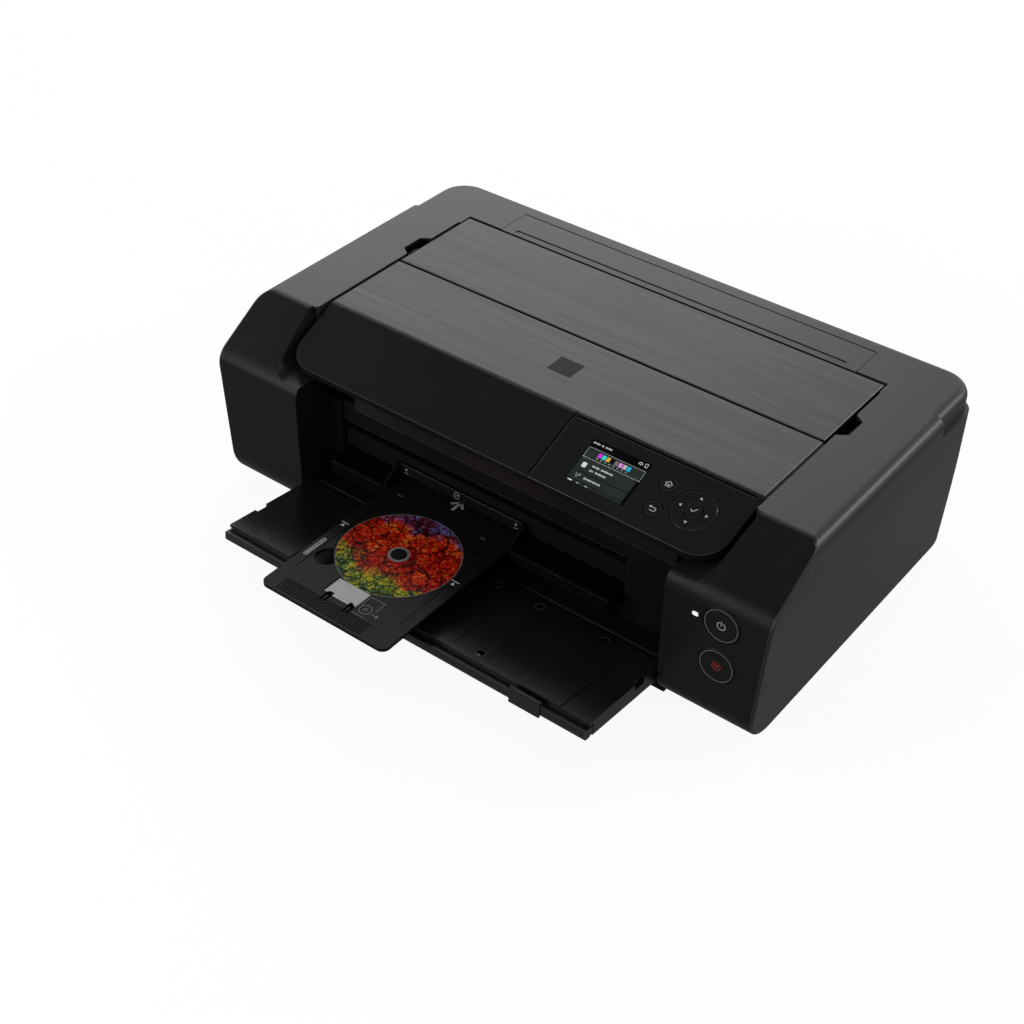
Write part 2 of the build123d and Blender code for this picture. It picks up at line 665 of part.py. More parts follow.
# Top cover: brushed plate's bed, slope, rounded lip, and a shallow skirt behind the lip
plate_front_y = cover_front_fold_y + panel_seam
skirt_l, skirt_r = -block_in + skirt_l_in, block_in - skirt_r_in
cover_rim, cover_room = 4.0, 12.0
slope_up = Axis(slope_plane().origin, slope_plane().z_dir)
with BuildPart() as top_cover:
    add(
        profile_x(
            [
                (cover_rear_y, bed_z), (cover_front_fold_y + 30, bed_z), slope_point(20), slope_point(-slope_len),
                slope_point(-slope_len, -cover_edge), slope_point(0, -cover_edge),
                (cover_rear_y, body_h - cover_bed_t),
            ],
            -cover_half, cover_half,
        )
    )
    with BuildSketch(slope_plane(-60)):
        add(cover_outline())
    extrude(amount=120, mode=Mode.INTERSECT)
    lip_edges = top_cover.faces().sort_by(slope_up)[-1].edges().sort_by(Axis.Z)[:-1]
    fillet(lip_edges, cover_lip_r)
    for y0, z0 in ((cover_front_fold_y - 10, cover_fold_z), (plate_front_y - 0.2, bed_z)):
        add(box(-cover_half - 1, cover_half + 1, y0, cover_rear_y + 1, z0, body_h + 20), mode=Mode.SUBTRACT)
    with BuildSketch(slope_plane(-60)):
        add(cover_outline(-cover_skin - 1, rear=84))
    extrude(amount=60 - cover_skin - panel_t, mode=Mode.SUBTRACT)
    add(
        box(
            cover_rim - cover_half, cover_half - cover_rim, cover_front_fold_y + 3, cover_rear_y - cover_room,
            body_h - 50, bed_z - cover_skin,
        ),
        mode=Mode.SUBTRACT,
    )
    with BuildSketch(slope_plane(-panel_t)):
        add(panel_outline(seam, panel_seam))
    extrude(amount=10, mode=Mode.SUBTRACT)
    with BuildSketch(Plane.YZ.offset(-cover_half - 1)):
        add(rolled_side.sketch)
    extrude(amount=cover_half + 1 + panel_l, mode=Mode.SUBTRACT)
    add(box(skirt_l, skirt_r, skirt_y, skirt_y + skirt_t, skirt_low_z, skirt_top_z))
    for side in (-1, 1):
        ends = sorted((side * (cover_half - 8), side * (cover_half + cover_pin_len)))
        add(cylinder_x(ends[0], ends[1], cover_hinge_y, cover_hinge_z, cover_pin_r))
top_cover.part.label = "top_cover"
export_step(top_cover.part, "parts/top_cover.step")

with BuildPart() as front_brushed_plate:
    with BuildSketch(Plane.YZ.offset(-plate_half)):
        add(rolled_side.sketch)
    extrude(amount=panel_l - seam + plate_half)
    add(box(panel_l - seam - 1, plate_half, plate_front_y, cover_rear_y, bed_z, body_h))
    flat_top = front_brushed_plate.faces().filter_by(Axis.Z).sort_by(Axis.Z)[-1]
    flat_edges = flat_top.edges().filter_by(lambda e: e.center().X > panel_l or e.center().Y > plate_front_y + 5)
    chamfer(flat_edges, plate_bevel)
front_brushed_plate.part.label = "front_brushed_plate"
export_step(front_brushed_plate.part, "parts/front_brushed_plate.step")

# Control panel on the slope, with holes for its display and keys
screen_gap, screen_drop = 0.2, 0.2
with BuildPart() as control_panel:
    with BuildSketch(slope_plane(-panel_t)):
        add(panel_outline())
    extrude(amount=panel_t)
    fillet(control_panel.faces().sort_by(slope_up)[-1].edges(), panel_edge_r)
    with BuildSketch(slope_plane(-panel_t)):
        with Locations((screen_x, screen_y)):
            Rectangle(screen_w + 2 * screen_gap, screen_h + 2 * screen_gap)
        with Locations(home_at, back_at):
            Circle(key_r + key_gap)
        with Locations(ok_at):
            Circle(ring_r + key_gap)
    extrude(amount=panel_t, mode=Mode.SUBTRACT)
control_panel.part.label = "control_panel"
export_step(control_panel.part, "parts/control_panel.step")

with BuildPart() as lcd_glass:
    with BuildSketch(slope_plane(-panel_t)):
        with Locations((screen_x, screen_y)):
            Rectangle(screen_w, screen_h)
    extrude(amount=panel_t - screen_drop)
lcd_glass.part.label = "lcd_glass"
export_step(lcd_glass.part, "parts/lcd_glass.step")


def panel_key(at, radius, hole=0.0):
    """A round key standing a little proud of the control panel, with room under it to travel."""
    with BuildPart(mode=Mode.PRIVATE) as key:
        with BuildSketch(slope_plane(-panel_t + key_travel + gap)):
            with Locations(at):
                Circle(radius)
                if hole:
                    Circle(hole, mode=Mode.SUBTRACT)
        extrude(amount=panel_t - key_travel - gap + key_proud)
        chamfer(key.faces().sort_by(slope_up)[-1].edges(), key_bevel)
    return key.part


with BuildPart() as home_button:
    add(panel_key(home_at, key_r))
home_button.part.label = "home_button"
export_step(home_button.part, "parts/home_button.step")

with BuildPart() as back_button:
    add(panel_key(back_at, key_r))
back_button.part.label = "back_button"
export_step(back_button.part, "parts/back_button.step")

with BuildPart() as ok_button:
    add(panel_key(ok_at, key_r))
ok_button.part.label = "ok_button"
export_step(ok_button.part, "parts/ok_button.step")

with BuildPart() as direction_ring:
    add(panel_key(ok_at, ring_r, key_r + gap))
direction_ring.part.label = "direction_ring"
export_step(direction_ring.part, "parts/direction_ring.step")


def front_button(z):
    """A round push button in a well of the right block, level with the block's face."""
    with BuildPart(mode=Mode.PRIVATE) as key:
        with BuildSketch(Plane.XZ.offset(-front_y - power_depth + key_travel + gap)):
            with Locations((power_x, z)):
                Circle(power_r)
        extrude(amount=power_depth - key_travel - 2 * gap)
        chamfer(key.faces().sort_by(Axis.Y)[0].edges(), well_rim)
    return key.part


with BuildPart() as power_button:
    add(front_button(power_z))
power_button.part.label = "power_button"
export_step(power_button.part, "parts/power_button.step")

with BuildPart() as stop_button:
    add(front_button(stop_z))
stop_button.part.label = "stop_button"
export_step(stop_button.part, "parts/stop_button.step")

# Frame round the mouth: two pillars, a bezel, a wall above the disc slot, all one moulding
frame_half = block_in - gap
slot_in, pillar_r = 3.0, 2.0
with BuildPart() as exit_frame:
    add(box(-frame_half, frame_half, frame_front_y, frame_back_y, sill_z, frame_top_z))
    for depth, z0, z1 in ((frame_recess, sill_z - 1, slot_z1), (wall_recess, slot_z1 - 1, frame_top_z + 1)):
        add(box(mouth_l, mouth_r, frame_front_y - 1, frame_front_y + depth, z0, z1), mode=Mode.SUBTRACT)
    through_y0, through_y1 = frame_front_y - 1, frame_back_y + 1
    add(box(mouth_l + slot_in, mouth_r - slot_in, through_y0, through_y1, slot_z0, slot_z1), mode=Mode.SUBTRACT)
    add(box(mouth_l, mouth_r, through_y0, through_y1, sill_z + 2, entry_z1), mode=Mode.SUBTRACT)
    upright = exit_frame.edges().filter_by(Axis.Z).filter_by(lambda e: e.center().Y < frame_front_y + 0.1)
    fillet(upright.filter_by(lambda e: mouth_l - 1 < e.center().X < mouth_r + 1), pillar_r)
exit_frame.part.label = "exit_frame"
export_step(exit_frame.part, "parts/exit_frame.step")

with BuildPart() as front_sill:
    sill_top_z = sill_z - seam
    add(box(-frame_half, frame_half, sill_y, frame_back_y, floor_z, sill_top_z))
    add(
        box(wall - frame_half, frame_half - wall, sill_y + wall, frame_back_y - wall, floor_z - 1, sill_top_z - wall),
        mode=Mode.SUBTRACT,
    )
    fillet(front_sill.edges().filter_by(Axis.X).sort_by(lambda e: e.center().Y - e.center().Z)[0], 1.5)
front_sill.part.label = "front_sill"
export_step(front_sill.part, "parts/front_sill.step")

# Tray guide: the flap let down in front of the slot, with a channel behind its front bar
guide_l, guide_r = mouth_l + 3, mouth_r - 2
gate_l, gate_r = disc_x - dtray_w / 2 - 4.2, disc_x + dtray_w / 2 + 4.2
bar_y0, bar_y1, bar_top_z, bar_low_z = -171.5, -167.0, 75.0, 62.0
guide_back_y, guide_t = -131.0, 3.6
guide_pin_r = 2.4
shelf_drop, lug_drop, lug_w, lug_pitch = 2.4, 1.4, 12, 44
with BuildPart() as tray_guide:
    add(box(guide_l, guide_r, bar_y1 - 1, guide_back_y, platen_z - guide_t, platen_z))
    add(box(guide_l, gate_l - gap, bar_y0, bar_y1, bar_low_z, bar_top_z))
    add(box(gate_r + gap, guide_r, bar_y0, bar_y1, bar_low_z, bar_top_z))
    add(box(gate_l - gap, gate_r + gap, bar_y0, bar_y1, bar_low_z, platen_z))
    for x0, x1 in ((mouth_l, guide_l + 1), (guide_r - 1, mouth_r)):
        add(cylinder_x(x0, x1, frame_front_y + 6.5, platen_z - guide_pin_r, guide_pin_r))
    for x0, x1 in ((guide_l, gate_l - 1), (gate_r + 1, guide_r)):
        add(box(x0, x1, bar_y1 + 8, guide_back_y - 2, platen_z - 0.5, bar_top_z - shelf_drop))
        for x in range(int(x0) + lug_w, int(x1) - lug_w + 2, lug_pitch):
            add(box(x, x + lug_w, bar_y1 + 6.5, bar_y1 + 11, platen_z, bar_top_z - lug_drop))
    for x0, x1 in ((guide_l, guide_l + 3), (guide_r - 3, guide_r)):
        add(box(x0, x1, bar_y0, guide_back_y, bar_low_z, bar_top_z))
tray_guide.part.label = "tray_guide"
export_step(tray_guide.part, "parts/tray_guide.step")

# Gate: sloping side rails and a leaning label strip, which the disc tray passes under
gate_in_l, gate_in_r = disc_x - dtray_w / 2 - 0.4, disc_x + dtray_w / 2 + 0.4
gate_low_z, gate_top_z, rail_low_z = 81.5, 90.5, 78.0
gate_front_y, gate_back_y = bar_y0 + 1.0, frame_front_y + 5.2
gate_foot_y = bar_y1 + 0.5
with BuildPart() as tray_gate:
    rail_side = [
        (gate_foot_y, platen_z), (gate_front_y, platen_z), (gate_front_y, rail_low_z - 0.5),
        (gate_back_y - 5, gate_top_z), (gate_back_y, gate_top_z), (gate_back_y, rail_low_z),
        (guide_back_y - 2, rail_low_z), (guide_back_y - 2, platen_z),
    ]
    add(profile_x(rail_side, gate_l, gate_in_l))
    add(profile_x(rail_side, gate_in_r, gate_r))
    strip_side = [
        (gate_back_y - 5, gate_low_z), (gate_back_y - 2.6, gate_top_z), (gate_back_y, gate_top_z),
        (gate_back_y, gate_low_z + 6), (gate_back_y - 2.4, gate_low_z),
    ]
    add(profile_x(strip_side, gate_l, gate_r))
tray_gate.part.label = "tray_gate"
export_step(tray_gate.part, "parts/tray_gate.step")

# Disc tray
grip_y0, grip_pitch, grip_w, grip_depth, grip_count = dtray_front_y + 3.2, 2.9, 1.3, 0.8, 6
grip_l, grip_r = disc_x - 58.0, disc_x + 44.0
slit_y, slit_w, slit_len = disc_y + 47.3, 3.0, 16.0
plaque_x, plaque_y, plaque_w, plaque_h, plaque_depth = disc_x - 2.0, disc_y - 68.2, 40.0, 29.0, 0.5
with BuildPart() as disc_tray:
    with BuildSketch(Plane.XY.offset(dtray_z)):
        with Locations((disc_x, (dtray_front_y + dtray_rear_y) / 2)):
            Rectangle(dtray_w, dtray_rear_y - dtray_front_y)
        fillet(vertices(), 8)
        with Locations(finger_at):
            Circle(finger_r, mode=Mode.SUBTRACT)
    extrude(amount=dtray_t)
    with BuildSketch(Plane.XY.offset(dtray_top - disc_t - gap)):
        with Locations((disc_x, disc_y)):
            Circle(disc_r + disc_margin)
    extrude(amount=disc_t + gap + 1, mode=Mode.SUBTRACT)
    with BuildSketch(Plane.XY.offset(dtray_z + 0.5)):
        with Locations((disc_x, disc_y)):
            Circle(disc_hole_r - 0.4)
    extrude(amount=dtray_t + 0.9)
    for i in range(grip_count):
        y = grip_y0 + grip_pitch * i
        add(box(grip_l, grip_r, y, y + grip_w, dtray_top - grip_depth, dtray_top + 1), mode=Mode.SUBTRACT)
    for x in (disc_x - 60, disc_x + 45):
        add(box(x, x + slit_len, slit_y - slit_w / 2, slit_y + slit_w / 2, dtray_z - 1, dtray_top + 1), mode=Mode.SUBTRACT)
    with BuildSketch(Plane.XY.offset(dtray_top - plaque_depth)):
        with Locations((plaque_x, plaque_y)):
            Rectangle(plaque_w, plaque_h)
    extrude(amount=plaque_depth + 1, mode=Mode.SUBTRACT)
disc_tray.part.label = "disc_tray"
export_step(disc_tray.part, "parts/disc_tray.step")

with BuildPart() as disc:
    with BuildSketch(Plane.XY.offset(dtray_top - disc_t)):
        with Locations((disc_x, disc_y)):
            Circle(disc_r)
            Circle(disc_hole_r, mode=Mode.SUBTRACT)
    extrude(amount=disc_t)
disc.part.label = "disc"
export_step(disc.part, "parts/disc.step")

# Output tray: hinged at the blocks' inner walls, with raised lanes and a drawer under it
lane_in, lane_out, lane_h = tray_half - 79.0, tray_half - 32.0, 1.2
groove_x = (tray_half - 155.0, tray_half - 117.0)
side_len = tray_len - 7
with BuildPart() as output_tray:
    with BuildSketch(tray_side(-tray_half)):
        with Locations((-tray_len / 2, half_t - tray_floor_t / 2)):
            Rectangle(tray_len, tray_floor_t)
        with Locations((-9, 0)):
            Rectangle(18, tray_t)
        Circle(half_t)
    extrude(amount=2 * tray_half)
    for x0 in (-tray_half, tray_half - side_wall):
        with BuildSketch(tray_side(x0)):
            with Locations((-side_len / 2, 0)):
                Rectangle(side_len, tray_t)
        extrude(amount=side_wall)
    with BuildSketch(tray_plane(half_t - 0.1)):
        with Locations(*[(side * (lane_in + lane_out) / 2, -tray_len / 2 - 4) for side in (-1, 1)]):
            Rectangle(lane_out - lane_in, tray_len - 8)
    extrude(amount=lane_h + 0.1)
    with BuildSketch(tray_plane(half_t - 0.1)):
        with Locations(*[(side * x, -tray_len / 2 - 6) for side in (-1, 1) for x in groove_x]):
            Rectangle(1.2, tray_len - 26)
    extrude(amount=0.7)
    with BuildSketch(tray_plane(2)):
        with Locations((-tray_half, -tray_len * 0.62), (tray_half, -tray_len * 0.3)):
            Rectangle(7, 15)
    extrude(amount=10, mode=Mode.SUBTRACT)
    with BuildSketch(tray_plane(half_t - 1.2)):
        with Locations((35, -7), (84, -7), (157, -7), (-84, -7), (86, -tray_len + 12)):
            Circle(4)
    extrude(amount=4, mode=Mode.SUBTRACT)
    for x0 in (-tray_half - 4.5, tray_half - 1):
        with BuildSketch(tray_side(x0)):
            Circle(tray_pin_r)
        extrude(amount=5.5)
output_tray.part.label = "output_tray"
export_step(output_tray.part, "parts/output_tray.step")

# Tray extension: a flat drawer under the tray, with a rounded bar across its front and a pull tab
drawer_half = tray_half - side_wall - 0.6
drawer_len, drawer_y = tray_len - 20, -(tray_len + 18) / 2
tab_l, tab_w, tab_t = lane_in - 1.0, 33.0, 2.2
with BuildPart() as tray_extension:
    with BuildSketch(tray_side(-drawer_half)):
        with Locations((drawer_y, 2.6)):
            Rectangle(drawer_len, 3.0)
        with Locations((drawer_y, -3.4)):
            Rectangle(drawer_len, 2.0)
        with Locations((drawer_y + drawer_len / 2 - 0.9, -0.5)):
            Rectangle(2, 7)
        with Locations((-tray_len + 3, -0.5)):
            Rectangle(4, 7)
    extrude(amount=2 * drawer_half)
    with BuildSketch(tray_side(-tray_half)):
        with Locations((-tray_len - 0.5, -2.6)):
            Rectangle(12, 11.4)
        fillet(vertices().group_by(Axis.Y)[0], 5.2)
    extrude(amount=2 * tray_half)
    with BuildSketch(tray_side(tab_l)):
        with Locations((-tray_len - 6.6, 0.2)):
            Rectangle(tab_t, tray_t - 0.4)
    extrude(amount=tab_w)
tray_extension.part.label = "tray_extension"
export_step(tray_extension.part, "parts/tray_extension.step")

# Platen with its ribs, between the two bearing plates
platen_y0, platen_y1, platen_low_z, platen_bed_z = -98.0, 8.0, 52.0, 66.0
rib_count, rib_w = 12, 2.0
rib_x0, rib_pitch = plate_l + 23.0, (plate_r - plate_l - 51.0) / (rib_count - 1)
pad_y0, pad_y1, pad_low_z = -62.0, -40.0, 64.0
with BuildPart() as platen:
    add(box(plate_l + plate_thick, plate_r, platen_y0, platen_y1, platen_low_z, platen_bed_z))
    add(
        box(plate_l + 12, plate_r - 12, platen_y0 + 4, platen_y1 - 4, platen_low_z - 2, platen_bed_z - 4),
        mode=Mode.SUBTRACT,
    )
    for i in range(rib_count):
        x = rib_x0 + i * rib_pitch
        add(box(x, x + rib_w, platen_y0 + 4, platen_y1 - 4, platen_bed_z - 0.5, platen_z))
    add(box(plate_l + 20, plate_r - 20, pad_y0, pad_y1, pad_low_z, platen_z + 1), mode=Mode.SUBTRACT)
platen.part.label = "platen"
export_step(platen.part, "parts/platen.step")


# Gear train: feed roller, three idlers, exit roller, and the motor's pinion behind
def mesh_phase(phase_a, teeth_a, at_a, teeth_b, at_b):
    """The turn of gear b, in degrees, that puts its gap on gear a's tooth along their centres."""
    line = degrees(atan2(at_b[1] - at_a[1], at_b[0] - at_a[0]))
    part_a = (line - phase_a) * teeth_a / 360
    return line + 180 - (0.5 - part_a) * 360 / teeth_b


def gear(teeth, at, phase, bore):
    """A spur gear with straight-sided teeth, lying across X."""
    pitch_r = gear_module * teeth / 2
    tip_r, root_r = pitch_r + 0.8 * gear_module, pitch_r - 1.1 * gear_module
    half = (pi * gear_module / 2 - backlash) / 2 / pitch_r
    lean = tan(radians(20))
    points = []
    for i in range(teeth):
        middle = radians(phase) + 2 * pi * i / teeth
        for radius, side in ((root_r, -1), (tip_r, -1), (tip_r, 1), (root_r, 1)):
            angle = middle + side * (half - (radius - pitch_r) * lean / radius)
            points.append((at[0] + radius * cos(angle), at[1] + radius * sin(angle)))
    with BuildPart(mode=Mode.PRIVATE) as wheel:
        with BuildSketch(Plane.YZ.offset(gear_x)):
            with BuildLine():
                Polyline(*points, close=True)
            make_face()
            with Locations(at):
                Circle(bore, mode=Mode.SUBTRACT)
        extrude(amount=gear_w)
    return wheel.part


phases = [0.0]
centres = [(feed_y, feed_z)] + [(y, idler_z) for y in idler_y] + [(exit_y, exit_z)]
teeth_of = [feed_teeth, idler_teeth, idler_teeth, idler_teeth, exit_teeth]
for i in range(1, 5):
    phases.append(mesh_phase(phases[i - 1], teeth_of[i - 1], centres[i - 1], teeth_of[i], centres[i]))
pinion_phase = mesh_phase(0.0, feed_teeth, centres[0], pinion_teeth, (pinion_y, pinion_z))

with BuildPart() as feed_gear:
    add(gear(feed_teeth, centres[0], phases[0], shaft_r))
feed_gear.part.label = "feed_gear"
export_step(feed_gear.part, "parts/feed_gear.step")

for i in range(3):
    with BuildPart() as idler_gear:
        add(gear(idler_teeth, centres[i + 1], phases[i + 1], axle_r + run))
    idler_gear.part.label = f"idler_gear_{i + 1}"
    export_step(idler_gear.part, f"parts/idler_gear_{i + 1}.step")

with BuildPart() as exit_gear:
    add(gear(exit_teeth, centres[4], phases[4], shaft_r))
exit_gear.part.label = "exit_gear"
export_step(exit_gear.part, "parts/exit_gear.step")

with BuildPart() as motor_pinion:
    add(gear(pinion_teeth, (pinion_y, pinion_z), pinion_phase, motor_shaft_r))
    add(cylinder_x(gear_x, gear_x + gear_w + 15, pinion_y, pinion_z, motor_shaft_r))
motor_pinion.part.label = "motor_pinion"
export_step(motor_pinion.part, "parts/motor_pinion.step")

# Rollers
shaft_end_x = plate_r + plate_thick + 3
with BuildPart() as feed_roller:
    add(cylinder_x(gear_x, shaft_end_x, feed_y, feed_z, shaft_r))
    with BuildSketch(Plane.YZ.offset(mouth_l)):
        with Locations((feed_y, feed_z)):
            Circle(feed_rubber_r)
            Circle(shaft_r, mode=Mode.SUBTRACT)
    extrude(amount=mouth_r - mouth_l)
feed_roller.part.label = "feed_roller"
export_step(feed_roller.part, "parts/feed_roller.step")

with BuildPart() as exit_roller:
    add(cylinder_x(gear_x, shaft_end_x, exit_y, exit_z, shaft_r))
    for i in range(roller_count):
        with BuildSketch(Plane.YZ.offset(roller_x0 + i * roller_pitch)):
            with Locations((exit_y, exit_z)):
                Circle(exit_rubber_r)
                Circle(shaft_r, mode=Mode.SUBTRACT)
        extrude(amount=rubber_w)
exit_roller.part.label = "exit_roller"
export_step(exit_roller.part, "parts/exit_roller.step")

# Bearing plates, the left one with the idlers' axles
bearing_side = [(-128, floor_z), (-128, 74), (-112, 77), (18, 77), (31, 74), (31, floor_z)]
with BuildPart() as bearing_plates:
    for x0, x1 in ((plate_l, plate_l + plate_thick), (plate_r, plate_r + plate_thick)):
        add(profile_x(bearing_side, x0, x1))
        for y, z in (centres[0], centres[4]):
            add(cylinder_x(x0 - 1, x1 + 1, y, z, shaft_r + run), mode=Mode.SUBTRACT)
    for y in idler_y:
        add(cylinder_x(gear_x - 1, plate_l + 1, y, idler_z, axle_r))
bearing_plates.part.label = "bearing_plates"
export_step(bearing_plates.part, "parts/bearing_plates.step")

# Star wheels over the exit roller and their holder
star_points, star_w = 8, 2.0
with BuildPart() as star_wheels:
    add(cylinder_x(mouth_l + 3.7, mouth_r - 3.6, exit_y, star_z, star_shaft_r))
    tips = []
    for k in range(2 * star_points):
        r = star_r if k % 2 == 0 else star_r - 1.4
        tips.append((exit_y + r * cos(pi * k / star_points), star_z + r * sin(pi * k / star_points)))
    for i in range(roller_count):
        x0 = roller_x0 + (rubber_w - star_w) / 2 + i * roller_pitch
        add(profile_x(tips, x0, x0 + star_w))
star_wheels.part.label = "star_wheels"
export_step(star_wheels.part, "parts/star_wheels.step")

holder_l, holder_r, holder_z, holder_t, arm_t = mouth_l + 0.7, mouth_r - 0.6, 92.0, 3.5, 2.5
with BuildPart() as star_holder:
    add(box(holder_l, holder_r, frame_back_y, exit_y + 9, holder_z, holder_z + holder_t))
    for x0 in (holder_l, holder_r - arm_t):
        add(box(x0, x0 + arm_t, exit_y - 6, exit_y + 6, star_z - 4, holder_z + 0.5))
        add(cylinder_x(x0 - 1, x0 + 4, exit_y, star_z, star_shaft_r + run), mode=Mode.SUBTRACT)
star_holder.part.label = "star_holder"
export_step(star_holder.part, "parts/star_holder.step")

# Steel frame: two side plates and a cross plate, which carry the carriage's rail
sheet = 2.0
frame_side_y, frame_side_top_z = 95.0, body_h - 40.0
cross_y, cross_low_z, cross_top_z = 12.0, 92.0, body_h - 44.0
slot_xs, slot_z, slot_w, slot_h = (-200, -100, 0, 100, 200), 106.0, 50.0, 14.0
with BuildPart() as chassis_frame:
    for x0 in (-inner_half, inner_half - sheet):
        add(box(x0, x0 + sheet, -frame_side_y, frame_side_y, floor_z, frame_side_top_z))
        add(cylinder_x(x0 - 1, x0 + 3, rail_y, rail_z, rail_r), mode=Mode.SUBTRACT)
    cross_half = inner_half - 1
    add(box(-cross_half, cross_half, cross_y, cross_y + sheet, cross_low_z, cross_top_z))
    add(box(-cross_half, cross_half, cross_y, cross_y + 12, cross_top_z - sheet, cross_top_z))
    with BuildSketch(Plane.XZ.offset(-cross_y - 8)):
        with Locations(*[(x, slot_z) for x in slot_xs]):
            SlotOverall(slot_w, slot_h)
    extrude(amount=20, mode=Mode.SUBTRACT)
chassis_frame.part.label = "chassis_frame"
export_step(chassis_frame.part, "parts/chassis_frame.step")

with BuildPart() as carriage_rail:
    add(cylinder_x(-inner_half - 1, inner_half + 1, rail_y, rail_z, rail_r - 0.02))
carriage_rail.part.label = "carriage_rail"
export_step(carriage_rail.part, "parts/carriage_rail.step")

# Belt drive behind the carriage
pulley_x, belt_y0, belt_y1, pulley_z, pulley_r = inner_half - 16.0, 4.5, 10.5, 144.0, 6.0
belt_t = 1.2
with BuildPart() as timing_belt:
    with BuildSketch(Plane.XZ.offset(-belt_y1)):
        with Locations((0, pulley_z)):
            SlotOverall(2 * (pulley_x + pulley_r + belt_t), 2 * (pulley_r + belt_t))
            SlotOverall(2 * (pulley_x + pulley_r), 2 * pulley_r, mode=Mode.SUBTRACT)
    extrude(amount=belt_y1 - belt_y0)
    for x in (-pulley_x, pulley_x):
        with BuildSketch(Plane.XZ.offset(-cross_y)):
            with Locations((x, pulley_z)):
                Circle(pulley_r - 0.1)
        extrude(amount=8)
timing_belt.part.label = "timing_belt"
export_step(timing_belt.part, "parts/timing_belt.step")

motor_r, motor_len, bracket_t = 13.0, 31.0, 3.5
with BuildPart() as motors:
    with BuildSketch(Plane.XZ.offset(-cross_y - sheet)):
        with Locations((-pulley_x + 2, pulley_z - 4)):
            Circle(motor_r)
    extrude(amount=-34)
    motor_x = plate_l + plate_thick
    add(cylinder_x(motor_x + bracket_t - 0.5, motor_x + bracket_t + motor_len, pinion_y, pinion_z, motor_r))
    bracket_y0, bracket_y1 = pinion_y - motor_r - 1, pinion_y + motor_r
    add(box(motor_x, motor_x + bracket_t, bracket_y0, bracket_y1, floor_z, pinion_z + motor_r + 2))
    add(cylinder_x(motor_x - 1, motor_x + 16, pinion_y, pinion_z, motor_shaft_r + run), mode=Mode.SUBTRACT)
motors.part.label = "motors"
export_step(motors.part, "parts/motors.step")

# Carriage with the print head under it and the tanks in it
car_l, car_rt = car_x - car_w / 2, car_x + car_w / 2
car_y0, car_y1, car_low_z, car_top_z = -95.0, -6.0, 86.0, 150.0
car_bed_z, car_wall = car_low_z + 6, 6.0
window_y, window_z = car_y0 + 35, car_top_z - 16
with BuildPart() as carriage:
    add(box(car_l, car_rt, car_y0, car_y1, car_low_z, car_top_z))
    add(
        box(car_l + car_wall, car_rt - car_wall, car_y0 + 5, car_y1 - 6, car_bed_z, car_top_z + 1),
        mode=Mode.SUBTRACT,
    )
    add(box(car_l - 1, car_rt + 1, car_y0 - 1, window_y, window_z, car_top_z + 1), mode=Mode.SUBTRACT)
    add(box(car_l + 20, car_rt - 20, car_y1 - 2, rail_y + 7, rail_z - 8, rail_z + 8))
    add(box(car_x - 9, car_x + 9, car_y1 - 1, belt_y0 - gap, pulley_z - 4, pulley_z + 4))
    add(cylinder_x(car_l, car_rt, rail_y, rail_z, rail_r + run), mode=Mode.SUBTRACT)
carriage.part.label = "carriage"
export_step(carriage.part, "parts/carriage.step")

head_y0, head_y1 = -72.0, -30.0
with BuildPart() as print_head:
    add(box(car_l + 10, car_rt - 10, head_y0, head_y1, head_z, car_low_z))
    chamfer(print_head.faces().sort_by(Axis.Z)[0].edges(), 1.5)
print_head.part.label = "print_head"
export_step(print_head.part, "parts/print_head.step")

tank_side = [(-88, 92.3), (-88, 128), (-82, 146), (-20, 154), (-14, 154), (-14, 92.3)]
with BuildPart() as ink_tanks:
    for i in range(tank_count):
        x0 = car_x - tank_pitch * tank_count / 2 + i * tank_pitch + (tank_pitch - tank_w) / 2
        add(profile_x(tank_side, x0, x0 + tank_w))
ink_tanks.part.label = "ink_tanks"
export_step(ink_tanks.part, "parts/ink_tanks.step")

# Maintenance unit under the parked carriage, with two caps that close on the print head
unit_l, unit_r, unit_y0, unit_y1, unit_top_z = car_x - 43.0, car_x + 47.0, -94.0, -4.0, 70.0
caps_x, caps_w, caps_top_z = (unit_l + 12, unit_l + 48), 30.0, 78.4
with BuildPart() as maintenance_unit:
    add(box(unit_l, unit_r, unit_y0, unit_y1, floor_z, unit_top_z))
    add(
        box(unit_l + 6, unit_r - 6, unit_y0 + 6, unit_y1 - 6, unit_top_z - 8, unit_top_z + 1),
        mode=Mode.SUBTRACT,
    )
    for x0 in caps_x:
        add(box(x0, x0 + caps_w, head_y0 - 2, head_y1 + 2, unit_top_z - 10, caps_top_z))
        add(
            box(x0 + 3, x0 + caps_w - 3, head_y0 + 1, head_y1 - 1, caps_top_z - 3.4, caps_top_z + 1),
            mode=Mode.SUBTRACT,
        )
maintenance_unit.part.label = "maintenance_unit"
export_step(maintenance_unit.part, "parts/maintenance_unit.step")

